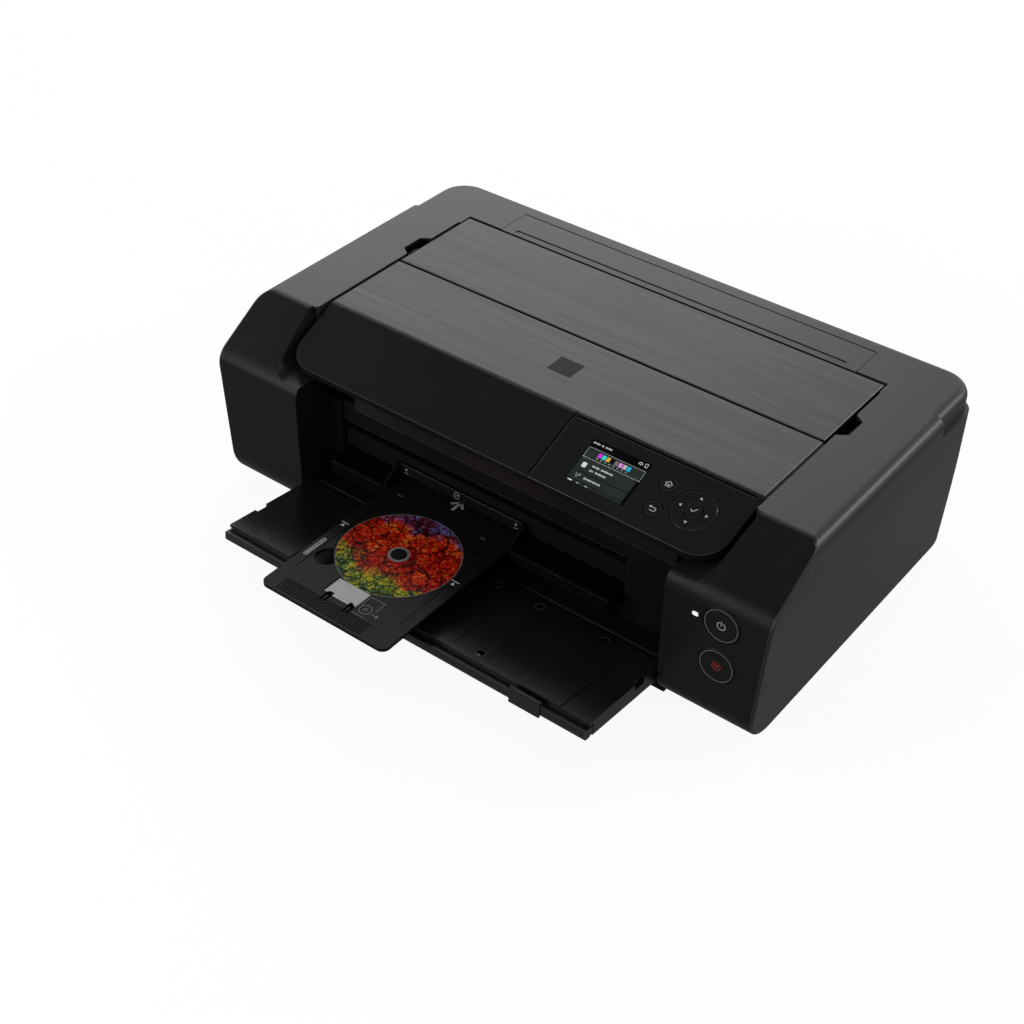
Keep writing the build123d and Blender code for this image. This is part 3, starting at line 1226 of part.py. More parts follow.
# Rear tray: a sloping bed between two end plates, its paper guides and pick-up roller
bed_len = hypot(bed_top_y - bed_low_y, bed_top_z - bed_low_z)
down = Vector(0, (bed_low_y - bed_top_y) / bed_len, (bed_low_z - bed_top_z) / bed_len)
bed_plane = Plane(origin=(0, bed_top_y, bed_top_z), x_dir=(1, 0, 0), z_dir=(0, down.Z, -down.Y))
pick_at = bed_plane.from_local_coords((0, -pick_down, pick_r + pick_clear))
pick_y, pick_z = pick_at.Y, pick_at.Z
bed_l, bed_r = plate_l + 4, plate_r - 1
end_t, guide_slot_w = 3.0, 5.0
with BuildPart() as rear_tray_base:
    with BuildSketch(bed_plane.offset(-bed_t)):
        with Locations(((bed_l + bed_r) / 2, -bed_len / 2)):
            Rectangle(bed_r - bed_l, bed_len)
        with Locations((paper_x, -bed_len / 2)):
            SlotOverall(paper_w + 15, guide_slot_w, mode=Mode.SUBTRACT)
    extrude(amount=bed_t)
    end_side = [
        (44, 88), (30, 98), (28, 124), (44, 132), (bed_top_y, bed_top_z), (bed_top_y + 6, bed_top_z),
        (bed_top_y + 6, floor_z), (66, floor_z), (60, 80),
    ]
    for x0 in (bed_l, bed_r - end_t):
        add(profile_x(end_side, x0, x0 + end_t))
        add(cylinder_x(x0 - 1, x0 + end_t + 1, pick_y, pick_z, pick_shaft_r + run), mode=Mode.SUBTRACT)
rear_tray_base.part.label = "rear_tray_base"
export_step(rear_tray_base.part, "parts/rear_tray_base.step")

fin_t, fin_h, fin_len, fin_foot_w = 2.0, 16.0, 58.0, 8.0


def paper_guide(side):
    """One paper guide: a foot on the bed, an upright fin and a tongue through the bed's slot."""
    face = paper_x + side * paper_w / 2
    with BuildPart(mode=Mode.PRIVATE) as guide:
        for across, height in ((fin_foot_w, fin_t), (fin_t, fin_h)):
            with BuildSketch(bed_plane.offset(gap)):
                with Locations((face + side * across / 2, -bed_len / 2)):
                    Rectangle(across, fin_len)
            extrude(amount=height)
        with BuildSketch(bed_plane.offset(-bed_t - 2)):
            with Locations((face + side * 3, -bed_len / 2)):
                Rectangle(4, guide_slot_w - 0.8)
        extrude(amount=bed_t + 2 + gap)
    return guide.part


with BuildPart() as left_paper_guide:
    add(paper_guide(-1))
left_paper_guide.part.label = "left_paper_guide"
export_step(left_paper_guide.part, "parts/left_paper_guide.step")

with BuildPart() as right_paper_guide:
    add(paper_guide(1))
right_paper_guide.part.label = "right_paper_guide"
export_step(right_paper_guide.part, "parts/right_paper_guide.step")

pick_w = 24.0
with BuildPart() as pickup_roller:
    add(cylinder_x(bed_l - 1, bed_r + 1, pick_y, pick_z, pick_shaft_r))
    for x0 in (paper_x - 28 - pick_w, paper_x + 28):
        with BuildSketch(Plane.YZ.offset(x0)):
            with Locations((pick_y, pick_z)):
                Circle(pick_r)
                Circle(pick_shaft_r, mode=Mode.SUBTRACT)
        extrude(amount=pick_w)
pickup_roller.part.label = "pickup_roller"
export_step(pickup_roller.part, "parts/pickup_roller.step")

# Pinch rollers over the feed roller, on a bar under the cross plate
pinch_r, pinch_count, pinch_w = 3.4, 5, 28.0
pinch_x0, pinch_pitch = mouth_l + 23.7, (mouth_r - mouth_l - 77.3) / (pinch_count - 1)
pinch_y, bar_z0, bar_z1 = cross_y + sheet, 79.0, cross_low_z - 0.5
with BuildPart() as pinch_rollers:
    add(box(mouth_l, mouth_r, pinch_y + gap, pinch_y + 16, bar_z0, bar_z1))
    add(box(mouth_l, mouth_r, pinch_y, pinch_y + 3, bar_z0, cross_low_z + 18))
    for i in range(pinch_count):
        x = pinch_x0 + i * pinch_pitch
        add(box(x - 2, x + pinch_w + 2, feed_y - 2, feed_y + 2, bar_z0 - 6, bar_z0 + 0.5))
        add(cylinder_x(x, x + pinch_w, feed_y, feed_z + feed_rubber_r + pinch_r + 0.2, pinch_r))
pinch_rollers.part.label = "pinch_rollers"
export_step(pinch_rollers.part, "parts/pinch_rollers.step")

# Electrics at the rear
supply_l, supply_y0, supply_y1, supply_top_z = -290.0, 62.0, 150.0, 62.0
fin_pitch, fin_count = 12.0, 6
with BuildPart() as power_supply:
    add(box(supply_l, supply_l + 78, supply_y0, supply_y1, floor_z, supply_top_z))
    for i in range(fin_count):
        x = supply_l + 8 + i * fin_pitch
        add(box(x, x + 4, supply_y0 + 8, supply_y1 - 8, supply_top_z - 2, supply_top_z + 1), mode=Mode.SUBTRACT)
power_supply.part.label = "power_supply"
export_step(power_supply.part, "parts/power_supply.step")

board_y, board_t = 160.0, 1.6
chips = ((140, 50, 26, 26), (190, 80, 18, 18), (240, 60, 22, 14), (140, 90, 30, 8))
with BuildPart() as main_board:
    add(box(112, 285, board_y, board_y + board_t, floor_z, 112))
    for x, z, w, h in chips:
        add(box(x - w / 2, x + w / 2, board_y - 3, board_y + 0.5, z - h / 2, z + h / 2))
main_board.part.label = "main_board"
export_step(main_board.part, "parts/main_board.step")

with BuildPart() as rear_ports:
    for x, w in ((ports_x - 10, 16), (ports_x + 10, 14)):
        add(box(x - w / 2, x + w / 2, board_y + board_t, rear_wall_y - 1, ports_z - 8, ports_z + 8))
        add(
            box(x - w / 2 + 2, x + w / 2 - 2, rear_wall_y - 10, rear_wall_y, ports_z - 6, ports_z + 6),
            mode=Mode.SUBTRACT,
        )
rear_ports.part.label = "rear_ports"
export_step(rear_ports.part, "parts/rear_ports.step")

inlet_w, inlet_h, contact_x = inlet_half_w - 0.4, inlet_half_h - 0.4, 4.0
with BuildPart() as power_inlet:
    add(box(inlet_x - inlet_w, inlet_x + inlet_w, 150, rear_wall_y - 0.6, inlet_z - inlet_h, inlet_z + inlet_h))
    add(
        box(inlet_x - 11, inlet_x + 11, rear_wall_y - 14, rear_wall_y, inlet_z - 8, inlet_z + 8),
        mode=Mode.SUBTRACT,
    )
    with BuildSketch(Plane.XZ.offset(-rear_wall_y + 4)):
        with Locations((inlet_x - contact_x, inlet_z), (inlet_x + contact_x, inlet_z)):
            Circle(1.2)
    extrude(amount=12)
power_inlet.part.label = "power_inlet"
export_step(power_inlet.part, "parts/power_inlet.step")

with BuildPart() as status_lamp:
    with BuildSketch(Plane.XZ.offset(-front_y - 0.2)):
        with Locations((lamp_x, power_z)):
            SlotOverall(lamp_w, lamp_h)
    extrude(amount=0.7)
status_lamp.part.label = "status_lamp"
export_step(status_lamp.part, "parts/status_lamp.step")

with BuildPart() as screws:
    with Locations(*[(x, y, foot_h - screw_h / 2) for x in (-200, 200) for y in (-90, 150)]):
        Cylinder(screw_r, screw_h)
screws.part.label = "screws"
export_step(screws.part, "parts/screws.step")
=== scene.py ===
# %% [markdown]
# # A wide photo printer with a disc on its tray
# The printer is a set of moulded covers round a dark mechanism. Its frame of rigid pieces comes
# packed, at its real size in metres. This file gives each piece its finish, and adds the small
# pieces that are too fine for the frame: symbols, rings and lines of painted highlight and shade, printed
# marks and the lit display.

# %% Load the frame
import math

import bpy
from mathutils import Matrix, Vector


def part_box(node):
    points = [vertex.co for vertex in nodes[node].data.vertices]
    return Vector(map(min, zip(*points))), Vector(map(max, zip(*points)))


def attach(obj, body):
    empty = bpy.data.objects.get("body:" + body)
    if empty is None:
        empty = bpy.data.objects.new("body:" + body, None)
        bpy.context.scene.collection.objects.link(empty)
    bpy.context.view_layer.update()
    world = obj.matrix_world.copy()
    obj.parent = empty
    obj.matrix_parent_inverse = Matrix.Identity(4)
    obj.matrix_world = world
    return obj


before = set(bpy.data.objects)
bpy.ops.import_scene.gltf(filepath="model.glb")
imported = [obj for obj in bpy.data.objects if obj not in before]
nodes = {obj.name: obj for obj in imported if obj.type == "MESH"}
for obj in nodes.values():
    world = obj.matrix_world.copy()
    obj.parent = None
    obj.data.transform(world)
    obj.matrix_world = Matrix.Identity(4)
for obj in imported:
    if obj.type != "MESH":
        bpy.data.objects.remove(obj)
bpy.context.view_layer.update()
MM = 0.001

# %% [markdown]
# ## Camera
# The photograph looks down at the printer from its front right. A camera's own directions are the
# columns of its rotation: right, up and back. A focal length in pixels becomes a lens in
# millimetres through the sensor's width.

# %% Camera
IMAGE_PX = 1024
FOCAL_PX = 1709.62
SENSOR_MM = 36.0
CAMERA_AT = Vector((764.94, -1149.16, 1101.56)) * MM
CAMERA_RIGHT = (0.79214705, 0.61001858, 0.01950338)
CAMERA_UP = (-0.39406994, 0.48679996, 0.7795734)
CAMERA_BACK = (0.46606002, -0.62522246, 0.62600714)

camera_data = bpy.data.cameras.new("camera")
camera_data.sensor_width = SENSOR_MM
camera_data.lens = FOCAL_PX / IMAGE_PX * SENSOR_MM
camera_data.clip_start = 0.05
camera_data.clip_end = 50.0
camera = bpy.data.objects.new("camera", camera_data)
bpy.context.scene.collection.objects.link(camera)
turn = Matrix((CAMERA_RIGHT, CAMERA_UP, CAMERA_BACK)).transposed().to_4x4()
camera.matrix_world = Matrix.Translation(CAMERA_AT) @ turn
bpy.context.scene.camera = camera
print("camera lens", round(camera_data.lens, 2), "mm")

# %% [markdown]
# ## Nodes and colours
# A material or a world is a small network of nodes. One helper adds a node with its settings and
# links, and another turns a hex colour, as a paint program shows it, into Blender's linear light.


# %% Node helpers
def linear(hex_colour, gain=1.0):
    """An sRGB hex colour as Blender's linear RGBA, made lighter or darker by a gain."""
    values = [int(hex_colour[i:i + 2], 16) / 255 for i in (1, 3, 5)]
    return [gain * (v / 12.92 if v <= 0.04045 else ((v + 0.055) / 1.055) ** 2.4) for v in values] + [1.0]


def grey(value):
    return [value, value, value, 1.0]


def add_node(tree, kind, settings=(), links=()):
    """Adds one node, sets its properties or inputs by name or number, and links its inputs."""
    node = tree.nodes.new(kind)
    for name, value in dict(settings).items():
        if isinstance(name, str) and hasattr(node, name) and name not in node.inputs:
            setattr(node, name, value)
        else:
            node.inputs[name].default_value = value
    for name, source in dict(links).items():
        tree.links.new(source, node.inputs[name])
    return node


def set_ramp(node, stops):
    """Puts (position, colour) stops on a colour ramp."""
    ramp = node.color_ramp
    while len(ramp.elements) < len(stops):
        ramp.elements.new(0.5)
    for element, (position, colour) in zip(ramp.elements, stops):
        element.position = position
        element.color = colour


# %% [markdown]
# ## Backdrop and light
# A product photograph of dark plastic is mostly reflections. The flat tops mirror the pale backdrop
# behind the printer and go grey, while the sloping cover mirrors the dark ceiling and stays black.
# So the backdrop is white up to about 43 degrees above the horizon and dark overhead. Camera, glossy
# and transmission rays see it at full strength; the light that it throws on the object is kept plain.


# %% World and floor
def seen_directly(tree, off_gloss=1.0):
    """1 for rays of the camera or through glass, off_gloss for those that come off gloss, else 0."""
    path = add_node(tree, "ShaderNodeLightPath")
    glossy = add_node(tree, "ShaderNodeMath", {"operation": "MULTIPLY", 1: off_gloss},
                      {0: path.outputs["Is Glossy Ray"]})
    first = add_node(tree, "ShaderNodeMath", {"operation": "MAXIMUM"},
                     {0: path.outputs["Is Camera Ray"], 1: glossy.outputs[0]})
    both = add_node(tree, "ShaderNodeMath", {"operation": "MAXIMUM"},
                    {0: first.outputs[0], 1: path.outputs["Is Transmission Ray"]})
    return both.outputs[0]


scene = bpy.context.scene
scene.view_settings.view_transform = "Standard"
world = bpy.data.worlds.new("studio")
scene.world = world
world.use_nodes = True
tree = world.node_tree
tree.nodes.clear()
place = add_node(tree, "ShaderNodeTexCoord")
split = add_node(tree, "ShaderNodeSeparateXYZ", links={0: place.outputs["Generated"]})
height = add_node(tree, "ShaderNodeMapRange", {"From Min": -1.0, "From Max": 1.0},
                  {"Value": split.outputs["Z"]})
backdrop_tone = add_node(tree, "ShaderNodeValToRGB", links={"Fac": height.outputs["Result"]})
WHITE_TO, DARK_FROM, FILL_LIGHT = 0.84, 0.90, 0.24
set_ramp(backdrop_tone, [(0.0, grey(1.0)), (WHITE_TO, grey(1.0)), (DARK_FROM, grey(0.10)), (1.0, grey(0.06))])
backdrop = add_node(tree, "ShaderNodeBackground", {"Strength": 1.0},
                    {"Color": backdrop_tone.outputs["Color"]})
fill = add_node(tree, "ShaderNodeBackground", {"Color": grey(FILL_LIGHT), "Strength": 1.0})
pick = add_node(tree, "ShaderNodeMixShader",
                links={0: seen_directly(tree), 1: fill.outputs[0], 2: backdrop.outputs[0]})
add_node(tree, "ShaderNodeOutputWorld", links={"Surface": pick.outputs[0]})

FLOOR_SIZE, FLOOR_MATTE, FLOOR_GLOW, FLOOR_IN_GLOSS = 12.0, 0.18, 0.92, 0.15
bpy.ops.object.select_all(action="DESELECT")
bpy.ops.mesh.primitive_plane_add(size=FLOOR_SIZE, location=(0, 0, 0))
floor = bpy.context.object
floor.name = "floor"
floor_paint = bpy.data.materials.new("white_paper_sweep")
floor_paint.use_nodes = True
tree = floor_paint.node_tree
tree.nodes.clear()
matte = add_node(tree, "ShaderNodeBsdfDiffuse", {"Color": grey(FLOOR_MATTE)})
glow = add_node(tree, "ShaderNodeEmission", {"Color": grey(1.0), "Strength": FLOOR_GLOW})
white = add_node(tree, "ShaderNodeAddShader", links={0: matte.outputs[0], 1: glow.outputs[0]})
# Plastic that leans over the floor would go pale if gloss saw it at full strength
pick = add_node(tree, "ShaderNodeMixShader",
                links={0: seen_directly(tree, FLOOR_IN_GLOSS), 1: matte.outputs[0], 2: white.outputs[0]})
add_node(tree, "ShaderNodeOutputMaterial", links={"Surface": pick.outputs[0]})
floor.data.materials.append(floor_paint)


# %% Lamps
def softbox(name, at, towards, size, power):
    """A rectangular area lamp that faces a point."""
    lamp = bpy.data.lights.new(name, "AREA")
    lamp.shape = "RECTANGLE"
    lamp.size, lamp.size_y = size
    lamp.energy = power
    holder = bpy.data.objects.new(name, lamp)
    scene.collection.objects.link(holder)
    aim = Vector(towards) - Vector(at)
    holder.matrix_world = Matrix.Translation(at) @ aim.to_track_quat("-Z", "Y").to_matrix().to_4x4()
    print("lamp", name, power, "W")


softbox("back_wash", (-1.9, 2.4, 1.9), (-0.1, 0.1, 0.2), (2.2, 1.5), 14)
softbox("key_front", (-1.2, -2.2, 0.9), (0, 0, 0.1), (1.0, 1.4), 15)
softbox("edge_right", (1.8, 2.1, 1.5), (0.3, 0.0, 0.15), (0.5, 0.9), 12)

# %% [markdown]
# ## Moulded plastics
# The covers are ABS, moulded in polished or finely textured steel moulds. Each finish has a slow
# drift in tone, as resin and light give, and a fine grain that breaks up its gloss. Patterns lie
# on Object coordinates, in metres, so a pattern's scale is one over its real size.


# %% Plastic helpers
def start_material(name):
    """A new material with only a Principled shader; returns the material, its tree and shader."""
    material = bpy.data.materials.new(name)
    material.use_nodes = True
    tree = material.node_tree
    return material, tree, tree.nodes["Principled BSDF"]


def per_mm(size_mm):
    """The texture scale whose features are about this many millimetres wide."""
    return 1.0 / (size_mm * MM)


def moulded_plastic(name, colour, roughness, grain_mm, grain_depth, specular=0.5, coat=0.0, drift=0.1):
    """Moulded plastic: a grain from the mould, and a slow drift in tone and gloss."""
    material, tree, shader = start_material(name)
    place = add_node(tree, "ShaderNodeTexCoord")
    at = {"Vector": place.outputs["Object"]}
    slow = add_node(tree, "ShaderNodeTexNoise", {"Scale": per_mm(90), "Detail": 2.0}, at)
    tone = add_node(tree, "ShaderNodeValToRGB", links={"Fac": slow.outputs["Fac"]})
    set_ramp(tone, [(0.3, linear(colour, 1 - drift)), (0.7, linear(colour, 1 + drift))])
    fine = add_node(tree, "ShaderNodeTexNoise", {"Scale": per_mm(grain_mm), "Detail": 3.0}, at)
    gloss = add_node(tree, "ShaderNodeMapRange", {"To Min": roughness * 0.9, "To Max": roughness * 1.1},
                     {"Value": fine.outputs["Fac"]})
    bump = add_node(tree, "ShaderNodeBump", {"Strength": 0.5, "Distance": grain_depth * MM},
                    {"Height": fine.outputs["Fac"]})
    tree.links.new(tone.outputs["Color"], shader.inputs["Base Color"])
    tree.links.new(gloss.outputs["Result"], shader.inputs["Roughness"])
    tree.links.new(bump.outputs["Normal"], shader.inputs["Normal"])
    shader.inputs["IOR"].default_value = 1.52
    shader.inputs["Specular IOR Level"].default_value = specular
    shader.inputs["Coat Weight"].default_value = coat
    shader.inputs["Coat Roughness"].default_value = 0.1
    return material


def give(material, *names):
    """Puts one material on CAD nodes."""
    for name in names:
        slots = nodes[name].material_slots
        for i in range(len(slots)):
            slots[i].material = material
        if not slots:
            nodes[name].data.materials.append(material)
    print(material.name, "on", len(names), "nodes")


# %% Covers
# Charcoal ABS with a satin spark-eroded texture, for the shells, the rear cap and its cover strip
satin_shell = moulded_plastic("satin_charcoal_abs", "#3c3c38", 0.34, 0.5, 0.02, specular=0.35)
# Black ABS from fine-blasted moulds, for the front blocks and, a little glossier, the top cover
satin_block = moulded_plastic("semi_gloss_black_abs", "#272726", 0.28, 0.45, 0.01, specular=0.12)
cover_black = moulded_plastic("polished_black_abs", "#242424", 0.28, 0.45, 0.006, specular=0.15)
# The panel's acrylic sheet is the glossiest black of all
panel_black = moulded_plastic("gloss_black_acrylic", "#282828", 0.16, 0.6, 0.003, specular=0.25)
key_black = moulded_plastic("satin_black_key", "#262626", 0.22, 0.4, 0.005, specular=0.25)
give(satin_shell, "left_side_shell", "right_side_shell", "rear_housing", "rear_cap", "manual_feed_cover")
give(satin_block, "left_front_block", "right_front_block", "power_button", "stop_button")
give(cover_black, "top_cover")
give(panel_black, "control_panel")
give(key_black, "home_button", "back_button", "ok_button", "direction_ring")

# %% Inner plastics, trays and rubber
# Inside parts are black polystyrene with a coarse dull texture, which keeps stray light down
inner_black = moulded_plastic("dull_black_polystyrene", "#131313", 0.5, 0.5, 0.03, specular=0.1)
tray_black = moulded_plastic("satin_black_tray", "#191918", 0.28, 0.5, 0.02, specular=0.7)
disc_tray_black = moulded_plastic("satin_disc_tray", "#181817", 0.34, 0.45, 0.015, specular=0.14)
rubber_black = moulded_plastic("black_epdm_rubber", "#101010", 0.75, 0.7, 0.04, specular=0.3)
# Gears are natural acetal, a milky white engineering plastic with a waxy surface
gear_white = moulded_plastic("natural_acetal", "#cfcdc4", 0.42, 0.5, 0.01, drift=0.03)
tank_black = moulded_plastic("smoked_polypropylene", "#191a1c", 0.24, 0.5, 0.006)
solder_green = moulded_plastic("green_solder_mask", "#0d3a20", 0.3, 0.7, 0.01)
give(inner_black, "base_pan", "exit_frame", "front_sill", "platen", "bearing_plates",
     "star_holder", "maintenance_unit", "power_supply", "power_inlet", "rear_tray_base", "pinch_rollers",
     "rear_tray_lid", "carriage", "print_head", "left_paper_guide", "right_paper_guide")
# The flap and its gate are the same plastic from a finer, duller mould
flap_black = moulded_plastic("dead_black_polystyrene", "#0d0d0d", 0.55, 0.4, 0.03, specular=0.04)
give(flap_black, "tray_guide", "tray_gate")
give(tray_black, "output_tray", "tray_extension")
give(disc_tray_black, "disc_tray")
give(rubber_black, "feet", "timing_belt", "feed_roller", "exit_roller", "pickup_roller")
give(gear_white, "feed_gear", "idler_gear_1", "idler_gear_2", "idler_gear_3", "exit_gear", "motor_pinion")
give(tank_black, "ink_tanks")
give(solder_green, "main_board")

# %% [markdown]
# ## Brushed plates
# The two plates on top are thin anodised aluminium, brushed along the printer's width. Brushing
# leaves long fine scratches, so one noise is stretched along X and used three ways: a little in
# colour, more in roughness, and as a shallow bump.

# %% Brushed metal
STREAK_STRETCH = 0.028  # a streak is about 36 times as long as it is wide
brushed, tree, shader = start_material("brushed_anodised_aluminium")
place = add_node(tree, "ShaderNodeTexCoord")
long = add_node(tree, "ShaderNodeMapping", {"Scale": (STREAK_STRETCH, 1.0, 1.0)},
                {"Vector": place.outputs["Object"]})
# Real scratches are about 0.1 mm wide; they are drawn 1.3 mm wide to show at this size
SCRATCH_MM, BAND_MM, ANODISED = 1.3, 6, "#505050"
lines = add_node(tree, "ShaderNodeTexNoise", {"Scale": per_mm(SCRATCH_MM), "Detail": 5.0, "Roughness": 0.75},
                 {"Vector": long.outputs["Vector"]})
bands = add_node(tree, "ShaderNodeTexNoise", {"Scale": per_mm(BAND_MM), "Detail": 2.0},
                 {"Vector": long.outputs["Vector"]})
both = add_node(tree, "ShaderNodeMix", {"data_type": "FLOAT", 0: 0.25},
                {2: lines.outputs["Fac"], 3: bands.outputs["Fac"]})
tone = add_node(tree, "ShaderNodeValToRGB", links={"Fac": both.outputs[0]})
set_ramp(tone, [(0.38, linear(ANODISED, 0.72)), (0.62, linear(ANODISED, 1.3))])
rough = add_node(tree, "ShaderNodeMapRange",
                 {"From Min": 0.3, "From Max": 0.7, "To Min": 0.34, "To Max": 0.5},
                 {"Value": lines.outputs["Fac"]})
bump = add_node(tree, "ShaderNodeBump", {"Strength": 0.3, "Distance": 0.02 * MM},
                {"Height": lines.outputs["Fac"]})
tree.links.new(tone.outputs["Color"], shader.inputs["Base Color"])
tree.links.new(rough.outputs["Result"], shader.inputs["Roughness"])
tree.links.new(bump.outputs["Normal"], shader.inputs["Normal"])
shader.inputs["Metallic"].default_value = 1.0
give(brushed, "front_brushed_plate", "rear_brushed_plate")

# %% Steel parts
# Pressed and turned steel with bright zinc plating: a slightly mottled, satin metal
steel, tree, shader = start_material("zinc_plated_steel")
place = add_node(tree, "ShaderNodeTexCoord")
grain = add_node(tree, "ShaderNodeTexNoise", {"Scale": per_mm(2), "Detail": 4.0},
                 {"Vector": place.outputs["Object"]})
tone = add_node(tree, "ShaderNodeValToRGB", links={"Fac": grain.outputs["Fac"]})
set_ramp(tone, [(0.3, linear("#7e8080")), (0.7, linear("#9a9c9c"))])
rough = add_node(tree, "ShaderNodeMapRange", {"To Min": 0.28, "To Max": 0.42},
                 {"Value": grain.outputs["Fac"]})
tree.links.new(tone.outputs["Color"], shader.inputs["Base Color"])
tree.links.new(rough.outputs["Result"], shader.inputs["Roughness"])
shader.inputs["Metallic"].default_value = 1.0
give(steel, "chassis_frame", "carriage_rail", "star_wheels", "motors", "screws", "rear_ports")

# %% [markdown]
# ## Small flat pieces
# Symbols, rings and printed marks are films a few hundredths of a millimetre thick. Each is drawn
# flat in the directions of the face that carries it, in millimetres from that face's own origin,
# given its thickness by Solidify, and then laid on the face. That way a symbol on a leaning panel
# is as easy to place as one on a table.

# %% Faces that carry marks
FOLD_Y, FOLD_Z = -95.5, 199.5       # where the cover's flat top turns down into its slope
SLOPE = math.atan2(29.7, 74.5)      # its drop over its run
PANEL_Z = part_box("front_brushed_plate")[1][2] / MM
TRAY_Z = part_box("disc")[1][2] / MM
STRIP_LEAN = math.atan2(2.4, 9.0)   # the gate's strip leans back
STRIP_Y, STRIP_Z = -149.8, 81.5
TRAY_TILT = math.radians(6.0)
HINGE_Y, HINGE_Z, HALF_T = -182.5, 36.3, 8.5    # the output tray's hinge, and half its thickness


def face_at(origin, tilt):
    """A face through a point, X along the printer, its Y turned up from the floor by an angle."""
    return Matrix.Translation(Vector(origin) * MM) @ Matrix.Rotation(tilt, 4, "X")


slope_face = face_at((0, FOLD_Y, FOLD_Z), SLOPE)
top_face = face_at((0, 0, PANEL_Z), 0.0)
tray_face = face_at((0, 0, TRAY_Z), 0.0)
strip_face = face_at((0, STRIP_Y, STRIP_Z), math.pi / 2 - STRIP_LEAN)
out_tray_face = face_at((0, HINGE_Y, HINGE_Z), -TRAY_TILT) @ Matrix.Translation((0, 0, HALF_T * MM))
print("faces ready; disc tray top at", round(TRAY_Z, 2), "mm")


# %% Shape helpers
FILM = 0.05     # thickness of a printed film
LIFT = 0.02     # and its distance from the face, so the two never flicker


def edit(piece):
    """Opens one piece in edit mode with all of it selected."""
    bpy.ops.object.select_all(action="DESELECT")
    piece.select_set(True)
    bpy.context.view_layer.objects.active = piece
    bpy.ops.object.mode_set(mode="EDIT")
    bpy.ops.mesh.select_all(action="SELECT")


def bar(x, y, width, height, turn=0.0, corner=0.0):
    """A rectangle about a centre, with rounded corners if asked."""
    bpy.ops.object.select_all(action="DESELECT")
    bpy.ops.mesh.primitive_plane_add(
        size=1.0, location=(x * MM, y * MM, 0), rotation=(0, 0, math.radians(turn)))
    piece = bpy.context.object
    piece.scale = (width * MM, height * MM, 1.0)
    bpy.ops.object.transform_apply(location=True, rotation=True, scale=True)
    if corner:
        edit(piece)
        bpy.ops.mesh.bevel(offset=corner * MM, segments=5, affect="VERTICES")
        bpy.ops.object.mode_set(mode="OBJECT")
    return piece


def polygon(x, y, radius, sides, turn=0.0):
    """A filled regular polygon; three sides make an arrow head, many a disc."""
    bpy.ops.object.select_all(action="DESELECT")
    bpy.ops.mesh.primitive_circle_add(
        vertices=sides, radius=radius * MM, fill_type="NGON", location=(x * MM, y * MM, 0),
        rotation=(0, 0, math.radians(turn)))
    bpy.ops.object.transform_apply(location=True, rotation=True, scale=True)
    return bpy.context.object


def ring(x, y, outer, width, sides=48, turn=0.0, open_from=0.0, open_to=0.0):
    """A flat ring, cut open between two angles in degrees if asked."""
    piece = polygon(x, y, outer, sides, turn)
    edit(piece)
    bpy.ops.mesh.inset(thickness=width * MM, depth=0.0)
    bpy.ops.mesh.delete(type="FACE")
    bpy.ops.mesh.select_all(action="DESELECT")
    bpy.ops.object.mode_set(mode="OBJECT")
    for face in piece.data.polygons:
        angle = math.degrees(math.atan2(face.center.y - y * MM, face.center.x - x * MM)) % 360
        face.select = (angle - open_from) % 360 < open_to - open_from
    if open_to > open_from:
        bpy.ops.object.mode_set(mode="EDIT")
        bpy.ops.mesh.delete(type="FACE")
        bpy.ops.object.mode_set(mode="OBJECT")
    return piece


def inked(material, *parts):
    """Gives flat parts their ink or finish."""
    for part in parts:
        part.data.materials.clear()
        part.data.materials.append(material)
    return list(parts)


def lay(name, parts, face, body, thickness=FILM, lift=LIFT, bevel=0.0):
    """Joins flat parts into one piece, thickens it, lays it on its face and rides it on a body."""
    bpy.ops.object.select_all(action="DESELECT")
    for part in parts:
        part.select_set(True)
    bpy.context.view_layer.objects.active = parts[0]
    if len(parts) > 1:
        bpy.ops.object.join()
    piece = bpy.context.object
    wall = piece.modifiers.new("thickness", "SOLIDIFY")
    wall.thickness = thickness * MM
    wall.offset = 1.0
    bpy.ops.object.modifier_apply(modifier=wall.name)
    if bevel:
        rounding = piece.modifiers.new("edges", "BEVEL")
        rounding.width = bevel * MM
        rounding.segments = 2
        bpy.ops.object.modifier_apply(modifier=rounding.name)
    piece.matrix_world = face @ Matrix.Translation((0, 0, lift * MM))
    bpy.ops.object.transform_apply(location=True, rotation=True, scale=True)
    piece.name = name
    piece.data.name = name
    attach(piece, body)
    print("made", name, len(piece.data.polygons), "faces")
    return piece


# %% Inks
def printing_ink(name, colour, roughness=0.55):
    """Screen-printed ink: a slightly uneven matte film."""
    material, tree, shader = start_material(name)
    place = add_node(tree, "ShaderNodeTexCoord")
    # Screen mesh prints at about 0.1 mm; it is drawn 0.5 mm wide to show
    mesh = add_node(tree, "ShaderNodeTexNoise", {"Scale": per_mm(0.5), "Detail": 2.0},
                    {"Vector": place.outputs["Object"]})
    tone = add_node(tree, "ShaderNodeValToRGB", links={"Fac": mesh.outputs["Fac"]})
    set_ramp(tone, [(0.3, linear(colour, 0.85)), (0.7, linear(colour, 1.05))])
    tree.links.new(tone.outputs["Color"], shader.inputs["Base Color"])
    shader.inputs["Roughness"].default_value = roughness
    return material


# White ink for the printed marks; the same white also makes a painted glint in an output tray recess
white_ink_and_glint = printing_ink("white_screen_ink_and_painted_glint", "#f0f0ee")
grey_ink = printing_ink("grey_screen_ink", "#a6a7a5")
red_ink = printing_ink("red_screen_ink", "#c03a34")
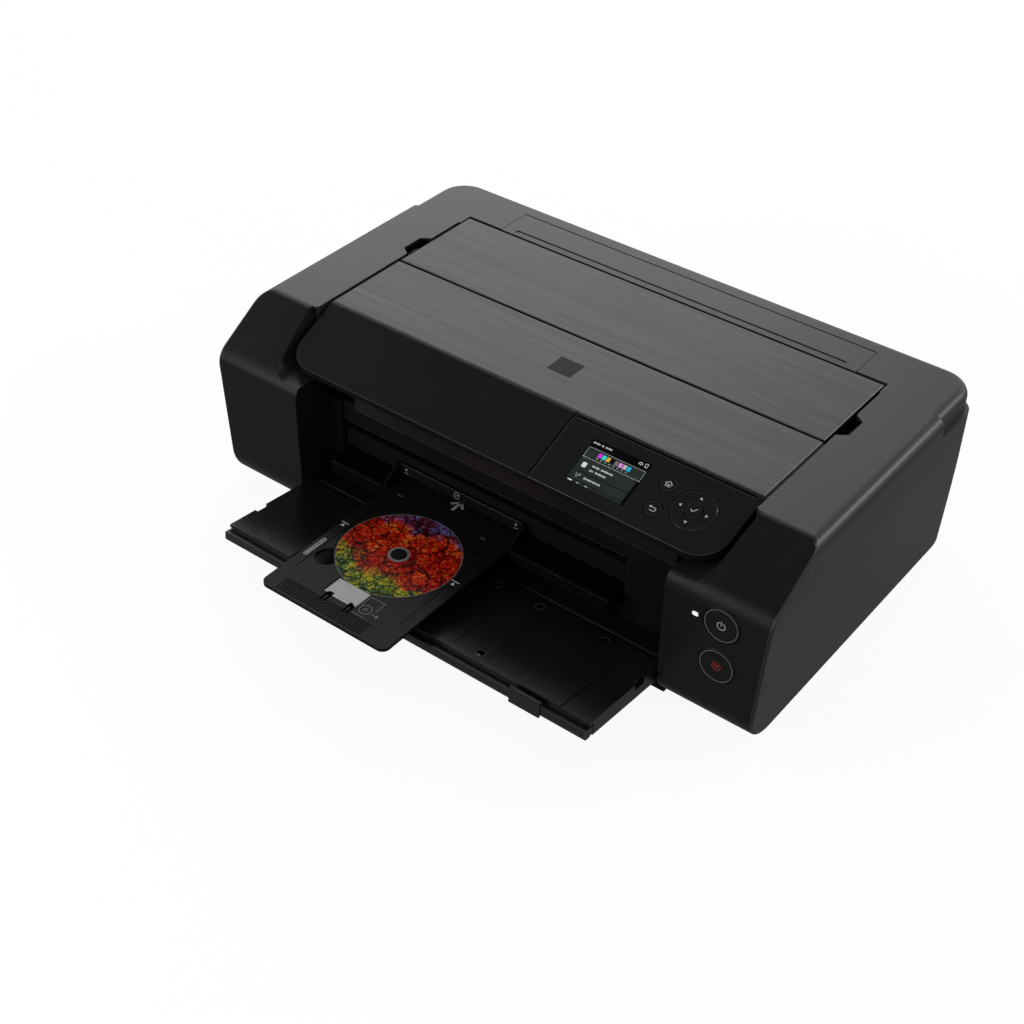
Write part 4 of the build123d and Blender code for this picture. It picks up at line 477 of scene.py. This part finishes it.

# %% [markdown]
# ## Control panel
# The keys sit in fine gaps in the glossy panel. The shade in a gap is painted as a dark ring, and the
# light that the moulded edge beside it catches is painted as a thin grey ring inside that, so each key
# gets a ring of painted shade round a ring of painted highlight. The symbols are printed: a house, a return
# arrow, a tick and four arrow heads.

# %% Key rings
# A painted highlight: the key's narrow rounded edge gets a mid grey colour that stands for the backdrop it
# mirrors
key_highlight = moulded_plastic("polished_key_edge", "#5c5c5b", 0.14, 0.5, 0.002, specular=0.9)
# Near black: painted shade in gaps, grooves and recesses, and also the own colour of the card's black clips
shade_and_clip_black = moulded_plastic("painted_shade_and_black_clips", "#020202", 0.7, 0.5, 0.01, specular=0.0)
KEY_R, RING_R = 8.3, 20.4
HOME, BACK, CENTRE = (168.8, -27.3), (170.2, -55.9), (202.6, -40.9)
KEY_PROUD = 0.7
GROOVE_W, EDGE_W = 0.75, 0.26
KEY_SIDES = 72
keys = (("home", "home_button", HOME, KEY_R), ("back", "back_button", BACK, KEY_R),
        ("ring", "direction_ring", CENTRE, RING_R), ("ok", "ok_button", CENTRE, KEY_R))
for name, body, at, radius in keys:
    # Painted shade: a dark ring in the gap round the key; inside it, a grey ring of painted highlight on the
    # key's edge
    groove = inked(shade_and_clip_black, ring(*at, radius, GROOVE_W, KEY_SIDES))
    lay(f"{name}_key_groove", groove, slope_face, body, lift=KEY_PROUD + LIFT)
    edge = inked(key_highlight, ring(*at, radius - GROOVE_W, EDGE_W, KEY_SIDES))
    lay(f"{name}_key_edge", edge, slope_face, body,
        thickness=0.1, lift=KEY_PROUD + LIFT, bevel=0.03)

# %% Panel seam
# Painted shade: a dark band marks the gap round the panel's left and upper edges. Inside it, a lighter band
# of painted highlight stands for the light on the panel's edge
panel_highlight = moulded_plastic("painted_panel_edge_highlight", "#363635", 0.25, 0.5, 0.002, specular=0.5)
SEAM_X, SEAM_Y, SEAM_END_X, SEAM_END_Y = 49.2, -2.8, 244.0, -76.0
SEAM_R, SEAM_W, HIGHLIGHT_BAND_W = 6.0, 1.4, 1.6
SEAM_LIFT = 0.06


def corner_line(material, inset, width):
    """A band along the panel's left and upper edges, round its upper left corner."""
    left, top, radius = SEAM_X + inset, SEAM_Y - inset, SEAM_R - inset
    upper = bar((left + radius + SEAM_END_X) / 2, top - width / 2, SEAM_END_X - left - radius, width)
    side = bar(left + width / 2, (top - radius + SEAM_END_Y) / 2, width, top - radius - SEAM_END_Y)
    corner = ring(left + radius, top - radius, radius, width, 64, 0, 180, 450)
    return inked(material, upper, side, corner)


seam = corner_line(shade_and_clip_black, 0.0, SEAM_W)
lay("panel_seam_shade", seam, slope_face, "top_cover", lift=SEAM_LIFT)
panel_highlight_band = corner_line(panel_highlight, SEAM_W, HIGHLIGHT_BAND_W)
lay("panel_highlight", panel_highlight_band, slope_face, "top_cover", lift=SEAM_LIFT)

# %% Key symbols
HEAD = 1.9      # an arrow head's size
HEAD_OUT = 13.2     # and its distance from the ring's centre
house = [
    bar(-1.75, 1.1, 5.2, 0.75, 38), bar(1.75, 1.1, 5.2, 0.75, -38),
    bar(-2.4, -1.4, 0.6, 3.6), bar(2.4, -1.4, 0.6, 3.6), bar(0, -3.1, 5.4, 0.6),
    bar(0, -1.5, 1.8, 1.8),
]
arrow = [
    bar(-0.4, 1.3, 4.2, 0.75), bar(-0.6, -2.3, 3.6, 0.75), polygon(-3.0, 1.3, 1.7, 3, 90),
    ring(1.4, -0.5, 2.15, 0.75, 32, 0, 100, 260),
]
tick = [bar(-1.7, -0.6, 3.2, 0.8, -45), bar(1.2, 0.4, 6.0, 0.8, 50)]
heads = [polygon(HEAD_OUT * math.cos(a), HEAD_OUT * math.sin(a), HEAD, 3, math.degrees(a) - 90)
         for a in (0.0, math.pi / 2, math.pi, 1.5 * math.pi)]
symbols = (("home_symbol", house, HOME, "home_button"), ("back_symbol", arrow, BACK, "back_button"),
           ("ok_symbol", tick, CENTRE, "ok_button"), ("arrow_symbols", heads, CENTRE, "direction_ring"))
for name, parts, at, body in symbols:
    face = slope_face @ Matrix.Translation((at[0] * MM, at[1] * MM, KEY_PROUD * MM))
    lay(name, inked(white_ink_and_glint, *parts), face, body)

# %% [markdown]
# ## Display
# The display is lit from behind, so its colours glow at their own value and hardly depend on the
# room. It shows a plain status page: a header, a row of ink levels, two list rows and separators.
# Words are left as plain bars.


# %% Lit colours
def backlit(name, colour, strength=1.0):
    """A lit picture colour under glass, with the panel's faint unevenness."""
    material, tree, shader = start_material(name)
    place = add_node(tree, "ShaderNodeTexCoord")
    cloud = add_node(tree, "ShaderNodeTexNoise", {"Scale": per_mm(14), "Detail": 1.0},
                     {"Vector": place.outputs["Object"]})
    tone = add_node(tree, "ShaderNodeValToRGB", links={"Fac": cloud.outputs["Fac"]})
    set_ramp(tone, [(0.3, linear(colour, 0.88)), (0.7, linear(colour, 1.08))])
    tree.links.new(tone.outputs["Color"], shader.inputs["Emission Color"])
    shader.inputs["Emission Strength"].default_value = strength
    shader.inputs["Base Color"].default_value = linear("#050606")
    shader.inputs["Roughness"].default_value = 0.12
    shader.inputs["Specular IOR Level"].default_value = 0.2
    return material


page = backlit("page_green_grey", "#262d29")
dark = backlit("page_black", "#030404")
bright = backlit("page_white", "#d2d5d2")
faint = backlit("page_grey", "#8c928e")
INKS = ("#c93fd0", "#35d6d0", "#e0b13a", "#050505", "#6f7070", "#e08ae0", "#b9bcbe", "#25b4e6")

# %% Display picture
SCREEN_L, SCREEN_R, SCREEN_TOP, SCREEN_LOW = 82.2, 144.8, -17.4, -65.6
PAGE_TOP, BOX_LOW, PAGE_R = -26.0, -37.8, 141.6
width, depth = SCREEN_R - SCREEN_L, SCREEN_TOP - SCREEN_LOW
ground = inked(dark, bar((SCREEN_L + SCREEN_R) / 2, (SCREEN_TOP + SCREEN_LOW) / 2, width, depth, 0, 0.6))
lay("display_ground", ground, slope_face, "top_cover", lift=-0.17)
box = bar((SCREEN_L + SCREEN_R - 0.6) / 2, (PAGE_TOP + BOX_LOW) / 2, width - 1.6, PAGE_TOP - BOX_LOW - 0.4)
rows = inked(page, box)
for top, low in ((BOX_LOW - 0.2, -52.3), (-53.0, -62.1), (-62.8, SCREEN_LOW + 0.2)):
    row = bar((SCREEN_L + PAGE_R) / 2 + 0.2, (top + low) / 2, PAGE_R - SCREEN_L - 0.4, top - low)
    rows += inked(page, row)
lay("display_rows", rows, slope_face, "top_cover", lift=-0.11)

# %% Ink levels and dashed frame
marks = []
INK_STEP = 4.44
for i, colour in enumerate(INKS):
    marks += inked(backlit(f"ink_level_{i + 1}", colour), bar(97.3 + INK_STEP * i, -30.8, 3.5, 4.6))
    marks += inked(faint, bar(96.6 + INK_STEP * i, -34.9, 1.5, 1.3))
DASH, DASH_W, STEP = 1.1, 0.34, 1.9
for i in range(32):
    x = 84.2 + STEP * i
    marks += inked(bright, bar(x, PAGE_TOP - 0.4, DASH, DASH_W), bar(x, BOX_LOW + 0.2, DASH, DASH_W))
for i in range(6):
    y = -28.0 - STEP * i
    marks += inked(bright, bar(83.3, y, DASH_W, DASH), bar(143.6, y, DASH_W, DASH))

# %% Word bars and signs
# Each stands for a word: its left end, its height on the page, its length and its number of bars
word_bars = (
    (83.8, -20.8, 7.2, 5), (92.6, -20.8, 2.6, 2), (96.8, -20.8, 7.0, 5), (97.4, -43.2, 7.6, 5),
    (106.6, -43.2, 13.0, 8), (97.4, -48.2, 4.2, 3), (103.4, -48.2, 11.4, 8), (97.4, -57.6, 17.6, 10),
)
for x, y, length, count in word_bars:
    pitch = length / count
    for i in range(count):
        marks += inked(bright, bar(x + pitch * (i + 0.5), y, pitch * 0.62, 1.9 if i % 3 == 0 else 1.3))
for x, w, ink in ((87.0, 4.2, bright), (95.4, 2.6, faint), (104.5, 3.0, faint)):
    marks += inked(ink, bar(x, -64.3, w, 1.3))
marks += inked(bright, bar(89.8, -45.3, 4.4, 5.4, 0, 0.9), ring(134.6, -21.2, 2.0, 0.5, 32, 0, 200, 340))
marks += inked(bright, polygon(134.6, -21.6, 0.6, 12))
marks += inked(bright, bar(139.2, -20.6, 0.4, 3.9), bar(141.8, -20.6, 0.4, 3.9), bar(140.5, -18.8, 3.0, 0.4))
marks += inked(bright, bar(140.5, -22.4, 3.0, 0.4))
marks += inked(faint, bar(89.0, -57.2, 0.7, 4.6, 20), bar(91.0, -57.2, 0.7, 4.6, -20))
marks += inked(faint, bar(92.6, -56.4, 0.7, 3.0, -20))
lay("display_picture", marks, slope_face, "top_cover", lift=-0.05)

# %% Display glass and status lamp
glass, tree, shader = start_material("display_glass")
place = add_node(tree, "ShaderNodeTexCoord")
smear = add_node(tree, "ShaderNodeTexNoise", {"Scale": per_mm(18), "Detail": 2.0},
                 {"Vector": place.outputs["Object"]})
rough = add_node(tree, "ShaderNodeMapRange", {"To Min": 0.06, "To Max": 0.12},
                 {"Value": smear.outputs["Fac"]})
tree.links.new(rough.outputs["Result"], shader.inputs["Roughness"])
shader.inputs["Base Color"].default_value = linear("#080a0b")
shader.inputs["IOR"].default_value = 1.5
give(glass, "lcd_glass")
# The lamp's light is brightest in the middle of its milky lens
lamp_lens, tree, shader = start_material("lit_milky_lens")
lamp_low, lamp_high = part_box("status_lamp")
lamp_at = [-(low + high) / 2 for low, high in zip(lamp_low, lamp_high)]
place = add_node(tree, "ShaderNodeTexCoord")
middle = add_node(tree, "ShaderNodeMapping", {"Location": lamp_at}, {"Vector": place.outputs["Object"]})
away = add_node(tree, "ShaderNodeVectorMath", {"operation": "LENGTH"}, {0: middle.outputs["Vector"]})
GLOW_FULL, GLOW_END, GLOW = 1.8, 3.6, 1.5
light = add_node(tree, "ShaderNodeMapRange",
                 {"From Min": GLOW_FULL * MM, "From Max": GLOW_END * MM, "To Min": GLOW, "To Max": 0.0},
                 {"Value": away.outputs["Value"]})
tree.links.new(light.outputs["Result"], shader.inputs["Emission Strength"])
shader.inputs["Emission Color"].default_value = linear("#f6f8fa")
shader.inputs["Base Color"].default_value = linear("#1c1c1c")
shader.inputs["Roughness"].default_value = 0.3
give(lamp_lens, "status_lamp")

# %% [markdown]
# ## Power and stop buttons
# Two round push buttons sit in wells on the right block. Their rims are bevelled; a bright ring of
# painted highlight stands for the light they catch, and a dark ring of painted shade for their gap.
# The symbols are the plain ones for power, a ring with a bar, and for stop, a ring with a triangle in it.

# %% Button rims and symbols
POWER_X, POWER_Z, STOP_Z = 272.5, 131.0, 84.3
RIM_R, RIM_W, RIM_GROOVE, RIM_SIDES = 16.6, 0.6, 0.8, 96
# Painted highlight: a bright grey ring stands for the light on each bevelled rim
rim_highlight_grey = moulded_plastic("painted_rim_highlight", "#a4a4a2", 0.16, 0.5, 0.002, specular=0.9)
BUTTON_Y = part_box("power_button")[0][1] / MM
for name, z, body in (("power", POWER_Z, "power_button"), ("stop", STOP_Z, "stop_button")):
    face = face_at((POWER_X, BUTTON_Y, z), math.pi / 2)
    rim = inked(rim_highlight_grey, ring(0, 0, RIM_R, RIM_W, RIM_SIDES))
    lay(f"{name}_button_rim_highlight", rim, face, body, thickness=0.28, lift=-0.06, bevel=0.1)
    # Painted shade: a dark ring in the gap outside the rim
    groove = inked(shade_and_clip_black, ring(0, 0, RIM_R + RIM_GROOVE, RIM_GROOVE, RIM_SIDES))
    lay(f"{name}_button_groove", groove, face, body)
    if name == "power":
        symbol = inked(white_ink_and_glint, ring(0, -0.4, 4.3, 0.8, 48, 0, 64, 116), bar(0, 2.4, 0.85, 5.0))
    else:
        symbol = inked(red_ink, ring(0, 0, 4.6, 0.8, 48), ring(0, 0.1, 3.3, 0.7, 3, 180))
    lay(f"{name}_symbol", symbol, face, body)

# %% [markdown]
# ## Badge place
# The front plate has a small dark square, inlaid in the brushed metal. It is left bare, and stands
# only 0.02 mm proud, so that it doesn't flicker against the plate.

# %% Badge
badge_black = moulded_plastic("gloss_black_inlay", "#1a1a1a", 0.3, 0.6, 0.003, specular=0.08)
badge = inked(badge_black, bar(0, -44.0, 27.0, 25.0, 0, 0.8))
lay("badge_inlay", badge, top_face, "top_cover", lift=0.02 - FILM)

# %% [markdown]
# ## Gate and its marks
# A gate stands over the slot on the let-down flap. Its strip leans back and carries two printed
# marks, which the marks on the disc tray meet when the tray lies right. A thin band of painted highlight runs
# along its edges.

# %% Gate marks
STRIP_L, STRIP_R, STRIP_H = -122.5, 34.5, 9.3
gate_marks = [
    polygon(-110.7, 5.4, 1.7, 3, 180), bar(-109.8, 1.9, 4.6, 0.5),
    polygon(23.8, 5.4, 1.7, 3, 180), bar(24.7, 1.9, 4.6, 0.5),
    ring(-47.6, 4.6, 3.4, 0.45, 32), bar(-47.6, 4.6, 5.6, 0.45, 35),
]
lay("gate_marks", inked(grey_ink, *gate_marks), strip_face, "printer")
# Painted highlight: a lighter grey stands for the light caught along edges; the disc tray's studs are drawn
# in it too
highlight_and_stud_grey = moulded_plastic("painted_edge_highlight_and_stud_grey", "#3a3a39", 0.3, 0.5, 0.005, specular=0.7)
GATE_HIGHLIGHT_W = 0.35
gate_highlights = [bar((STRIP_L + STRIP_R) / 2, STRIP_H - 0.2, STRIP_R - STRIP_L, GATE_HIGHLIGHT_W),
         bar(STRIP_L + 0.2, 4.8, GATE_HIGHLIGHT_W, 8.6), bar(STRIP_R - 0.2, 4.8, GATE_HIGHLIGHT_W, 8.6)]
lay("gate_edge_highlight", inked(highlight_and_stud_grey, *gate_highlights), strip_face, "printer",
    thickness=0.2, lift=-0.02, bevel=0.06)

# %% Painted edge highlights
# Long moulded edges in the mouth each get a fine line of painted highlight, a lighter grey than the plastic
EDGE_HIGHLIGHT_W = 0.4
# Each has its name, its y and z, its left and right ends, and its body
edges = (
    ("skirt_edge", -157.0, 138.2, -168.0, 205.0, "top_cover"),
    ("slot_edge", -147.0, 111.3, -189.0, 145.0, "printer"),
    ("guide_edge_left", -171.5, 74.7, -189.0, -123.4, "printer"),
    ("guide_edge_right", -171.5, 74.7, 35.4, 146.0, "printer"),
    ("sill_edge", -173.5, 42.0, -211.0, 211.0, "printer"),
)
for name, y, z, x0, x1, body in edges:
    line = inked(highlight_and_stud_grey, bar((x0 + x1) / 2, 0, x1 - x0, EDGE_HIGHLIGHT_W))
    lay(name, line, face_at((0, y, z), math.pi / 2), body,
        thickness=0.1, lift=0.01, bevel=0.03)
# The output tray's front edge and its lane edges get the same painted highlight
LANE_X, LANE_H = (134.2, 181.0, -134.2, -181.0), 1.2
front_line = inked(highlight_and_stud_grey, bar(0, -109.6, 424.0, 0.5))
lane_lines = inked(highlight_and_stud_grey, *[bar(x, -58.0, EDGE_HIGHLIGHT_W, 98.0) for x in LANE_X])
lay("output_tray_edge_highlight", front_line, out_tray_face, "output_tray", thickness=0.1)
lay("output_lane_edge_highlights", lane_lines, out_tray_face, "output_tray",
    thickness=0.1, lift=LANE_H + LIFT)

# %% Output tray recesses
# Round moulding recesses get a disc of painted shade inside and a ring of painted highlight on their sharp
# rims
RECESS_R, RECESS_DEPTH, RIM_OUT = 4.0, 1.2, 0.5
recesses = ((35, -7), (84, -7), (157, -7), (-84, -7), (86, -98))
glint_x, glint_y = recesses[-1]
glint_grey = moulded_plastic("painted_rim_glint", "#6e6e6c", 0.2, 0.5, 0.002, specular=0.8)
recess_shade = inked(shade_and_clip_black, *[polygon(x, y, RECESS_R - 0.1, 32) for x, y in recesses])
lay("tray_recess_shade", recess_shade, out_tray_face, "output_tray",
    thickness=0.1, lift=LIFT - RECESS_DEPTH)
rim_glints = inked(glint_grey, *[ring(x, y, RECESS_R + RIM_OUT, 0.4, 40) for x, y in recesses])
lay("tray_recess_rim_glints", rim_glints, out_tray_face, "output_tray",
    thickness=0.12, lift=0.01, bevel=0.03)
# In the front recess a small white patch is a painted glint
glint = inked(white_ink_and_glint, bar(glint_x - 0.8, glint_y - 2.4, 2.6, 1.2, 0, 0.4))
lay("tray_recess_glints", glint, out_tray_face, "output_tray", lift=0.13 - RECESS_DEPTH)

# %% [markdown]
# ## Disc tray
# The tray is one flat moulding with printed marks: two arrow heads with their lines, an arrow that
# shows which way it goes in, and a strip of graduations at its left edge. A white card lies in front
# of the disc, held by two black clips. Shallow grooves round its border are drawn as dark lines of painted
# shade.

# %% Disc tray marks
LEFT_MARK, RIGHT_MARK = (-113.8, -238.4), (21.2, -239.3)
tray_marks = [
    polygon(LEFT_MARK[0], LEFT_MARK[1], 2.6, 3), bar(LEFT_MARK[0], LEFT_MARK[1] + 3.9, 9.0, 0.9),
    polygon(RIGHT_MARK[0], RIGHT_MARK[1], 2.6, 3), bar(RIGHT_MARK[0], RIGHT_MARK[1] + 4.2, 9.0, 0.9),
]
lay("tray_alignment_marks", inked(white_ink_and_glint, *tray_marks), tray_face, "disc_tray")
SCALE_X, SCALE_STEP = -112.8, 2.0
scale_strip = inked(white_ink_and_glint, bar(SCALE_X, -278.0, 4.2, 29.0, 0, 0.4))
lay("graduation_strip", scale_strip, tray_face, "disc_tray")
ticks = [bar(SCALE_X, -291.0 + SCALE_STEP * i, 3.4, 0.9 if i % 3 else 1.3) for i in range(14)]
lay("graduation_ticks", inked(disc_tray_black, *ticks), tray_face, "disc_tray",
    lift=LIFT + FILM)
arrow_ink = printing_ink("pale_grey_ink", "#b9bab8")
way_in = [bar(-47.5, -148.6, 3.2, 15.0), bar(-51.1, -145.0, 3.0, 10.6, -45),
          bar(-43.9, -145.0, 3.0, 10.6, 45)]
lay("way_in_arrow", inked(arrow_ink, *way_in), tray_face, "disc_tray")
pictogram = [
    ring(-17.6, -315.0, 6.2, 0.5, 40), ring(-17.6, -315.0, 1.9, 0.4, 24),
    bar(-24.6, -305.6, 0.45, 13.0), bar(-16.4, -298.9, 16.8, 0.45), bar(-8.2, -305.6, 0.45, 13.0),
    bar(-17.6, -324.6, 14.0, 0.45), polygon(-3.2, -316.5, 2.2, 3, -90), bar(-6.6, -316.5, 5.4, 0.7),
]
lay("disc_pictogram", inked(grey_ink, *pictogram), tray_face, "disc_tray")
# Painted shade: dark lines and a dot stand for the shade in shallow grooves
grooves = [bar(-107.4, -252.0, 0.7, 119.0), bar(19.4, -252.0, 0.7, 119.0), bar(-79.0, -304.0, 10.5, 0.3, -2),
           bar(-52.0, -196.3, 46.0, 0.5), bar(3.6, -318.0, 12.0, 0.3, -12), polygon(-84.5, -317.9, 0.9, 16)]
lay("disc_tray_grooves", inked(shade_and_clip_black, *grooves), tray_face, "disc_tray")
studs = [bar(-100.4, -169.7, 6.4, 2.6, 0, 1.25), bar(2.2, -170.5, 6.4, 2.6, 0, 1.25)]
lay("disc_tray_studs", inked(highlight_and_stud_grey, *studs), tray_face, "disc_tray",
    thickness=0.5, bevel=0.2)

# %% White card and its clips
card_white = printing_ink("white_card", "#e4e4e2", 0.5)
CARD_L, CARD_R, CARD_LOW, CARD_TOP = -63.8, -26.8, -319.8, -297.5
# Its lower edge has two notches for the clips, so it ends in three tabs
CARD_MID_X, NOTCH = -44.0, 4.0
sheet_low = CARD_LOW + NOTCH
sheet = bar((CARD_L + CARD_R) / 2, (sheet_low + CARD_TOP) / 2, CARD_R - CARD_L, CARD_TOP - sheet_low)
tabs = (bar(CARD_MID_X, CARD_LOW + 2.0, 19.0, 4.2), bar(CARD_L + 2.2, CARD_LOW + 2.6, 4.4, 3.0),
        bar(CARD_R - 2.0, CARD_LOW + 2.6, 4.0, 3.0))
lay("white_card", inked(card_white, sheet, *tabs), tray_face, "disc_tray", thickness=0.12)
# The card's printed lines use the display's backlit grey, so they glow without a lamp: painted light
rules = [bar(CARD_MID_X, -302.6 - 2.6 * i, 24.0 - 3.2 * i, 0.35) for i in range(5)]
lay("card_lines", inked(faint, *rules), tray_face, "disc_tray", lift=0.15)
clips = []
for x in (-57.3, -30.6):
    clips += [bar(x, -318.6, 5.6, 1.8), bar(x - 2.2, -323.6, 1.2, 11.6), bar(x + 2.2, -323.6, 1.2, 11.6)]
lay("card_clips", inked(shade_and_clip_black, *clips), tray_face, "disc_tray",
    thickness=0.7, bevel=0.15)

# %% [markdown]
# ## The disc's print
# The disc carries a generic abstract print of drifting leaf-like flecks in autumn colours: reds and
# oranges over a dark ground, a green and yellow part, and a few cold flecks. Small Voronoi cells
# make the flecks, two slow noises choose their colours, and the edges of large cells draw twigs.

# %% Disc print
DISC_X, DISC_Y, DISC_R = -44.0, -238.3, 60.0
print_ink, tree, shader = start_material("printed_disc")
place = add_node(tree, "ShaderNodeTexCoord")
centre = add_node(tree, "ShaderNodeMapping", {"Location": (-DISC_X * MM, -DISC_Y * MM, 0.0)},
                  {"Vector": place.outputs["Object"]})
at = centre.outputs["Vector"]
split = add_node(tree, "ShaderNodeSeparateXYZ", links={0: at})
wander = add_node(tree, "ShaderNodeTexNoise", {"Scale": per_mm(7), "Detail": 4.0}, {"Vector": at})
SWAY = 6 * MM   # how far the flecks drift
sway = add_node(tree, "ShaderNodeVectorMath", {"operation": "SCALE", "Scale": SWAY},
                {0: wander.outputs["Color"]})
moved = add_node(tree, "ShaderNodeVectorMath", {"operation": "ADD"}, {0: at, 1: sway.outputs[0]})
FLECK_MM, CLUMP_MM, PATCH_MM, TWIG_MM = 1.9, 17, 26, 17
flecks = add_node(tree, "ShaderNodeTexVoronoi", {"Scale": per_mm(FLECK_MM)}, {"Vector": moved.outputs[0]})
clumps = add_node(tree, "ShaderNodeTexNoise", {"Scale": per_mm(CLUMP_MM), "Detail": 7.0, "Roughness": 0.7},
                  {"Vector": at})
fleck_tone = add_node(tree, "ShaderNodeSeparateColor", links={0: flecks.outputs["Color"]})
mixed = add_node(tree, "ShaderNodeMix", {"data_type": "FLOAT", 0: 0.26},
                 {2: clumps.outputs["Fac"], 3: fleck_tone.outputs[0]})

# %% Disc print colours
WARM = ((0.34, "#160404"), (0.41, "#860e08"), (0.49, "#de1c0c"), (0.58, "#f23c16"), (0.70, "#ff9a3c"))
LEAFY = ((0.35, "#041008"), (0.44, "#185222"), (0.52, "#5a8a12"), (0.60, "#dcca1c"), (0.73, "#f2ba34"))
COLD = ((0.34, "#1c0a12"), (0.47, "#8a2024"), (0.58, "#5666ac"), (0.72, "#a0b2e8"))
tones = []
for stops in (WARM, LEAFY, COLD):
    tones.append(add_node(tree, "ShaderNodeValToRGB", links={"Fac": mixed.outputs[0]}))
    set_ramp(tones[-1], [(position, linear(colour)) for position, colour in stops])
warm, leafy, cold = tones
# Green takes over towards the front of the disc, and cold tones towards its back
patches = add_node(tree, "ShaderNodeTexNoise", {"Scale": per_mm(PATCH_MM), "Detail": 3.0}, {"Vector": at})
masks = []
for per_metre, offset, low, high in ((-14.0, -0.42, 0.42, 0.56), (9.0, -0.12, 0.66, 0.80)):
    way = add_node(tree, "ShaderNodeMath", {"operation": "MULTIPLY_ADD", 1: per_metre, 2: offset},
                   {0: split.outputs["Y"]})
    share = add_node(tree, "ShaderNodeMath", {"operation": "ADD"},
                     {0: way.outputs[0], 1: patches.outputs["Fac"]})
    masks.append(add_node(tree, "ShaderNodeMapRange", {"From Min": low, "From Max": high},
                          {"Value": share.outputs[0]}))
green_mask, cold_mask = masks
with_green = add_node(tree, "ShaderNodeMix", {"data_type": "RGBA"},
                      {0: green_mask.outputs["Result"], 6: warm.outputs["Color"], 7: leafy.outputs["Color"]})
with_cold = add_node(tree, "ShaderNodeMix", {"data_type": "RGBA"},
                     {0: cold_mask.outputs["Result"], 6: with_green.outputs[2], 7: cold.outputs["Color"]})

# %% Twigs, bare hub and rim
twigs = add_node(tree, "ShaderNodeTexVoronoi", {"feature": "DISTANCE_TO_EDGE", "Scale": per_mm(TWIG_MM)},
                 {"Vector": moved.outputs[0]})
twig_line = add_node(tree, "ShaderNodeMapRange",
                     {"From Min": 0.015, "From Max": 0.055, "To Min": 0.06, "To Max": 1.0},
                     {"Value": twigs.outputs["Distance"]})
shade = add_node(tree, "ShaderNodeMix", {"data_type": "RGBA", "blend_type": "MULTIPLY", 0: 1.0},
                 {6: with_cold.outputs[2], 7: twig_line.outputs["Result"]})
flat = add_node(tree, "ShaderNodeCombineXYZ", links={"X": split.outputs["X"], "Y": split.outputs["Y"]})
radius = add_node(tree, "ShaderNodeVectorMath", {"operation": "LENGTH"}, {0: flat.outputs["Vector"]})
share = add_node(tree, "ShaderNodeMath", {"operation": "DIVIDE", 1: DISC_R * MM},
                 {0: radius.outputs["Value"]})
bare = add_node(tree, "ShaderNodeValToRGB", links={"Fac": share.outputs[0]})
bare.color_ramp.interpolation = "CONSTANT"
PRINT_FROM, PRINT_TO = 0.175, 0.986     # shares of the radius
set_ramp(bare, [(0.0, grey(1.0)), (PRINT_FROM, grey(0.0)), (PRINT_TO, grey(1.0))])
final = add_node(tree, "ShaderNodeMix", {"data_type": "RGBA", 7: linear("#7c7c7a")},
                 {0: bare.outputs["Color"], 6: shade.outputs[2]})
tree.links.new(final.outputs[2], shader.inputs["Base Color"])
shader.inputs["Roughness"].default_value = 0.32
shader.inputs["Specular IOR Level"].default_value = 0.12
give(print_ink, "disc")

# %% Disc hub
hub_grey = printing_ink("clear_hub_ring", "#a2a2a0", 0.3)
lay("disc_hub_ring", inked(hub_grey, ring(DISC_X, DISC_Y, 10.6, 2.2, 64)), tray_face, "disc")
hub_dark = printing_ink("grey_hub_cap", "#4c4c4a", 0.4)
lay("hub_cap", inked(hub_dark, polygon(DISC_X, DISC_Y, 6.9, 48)), tray_face, "disc_tray",
    thickness=0.3, lift=0.92, bevel=0.12)
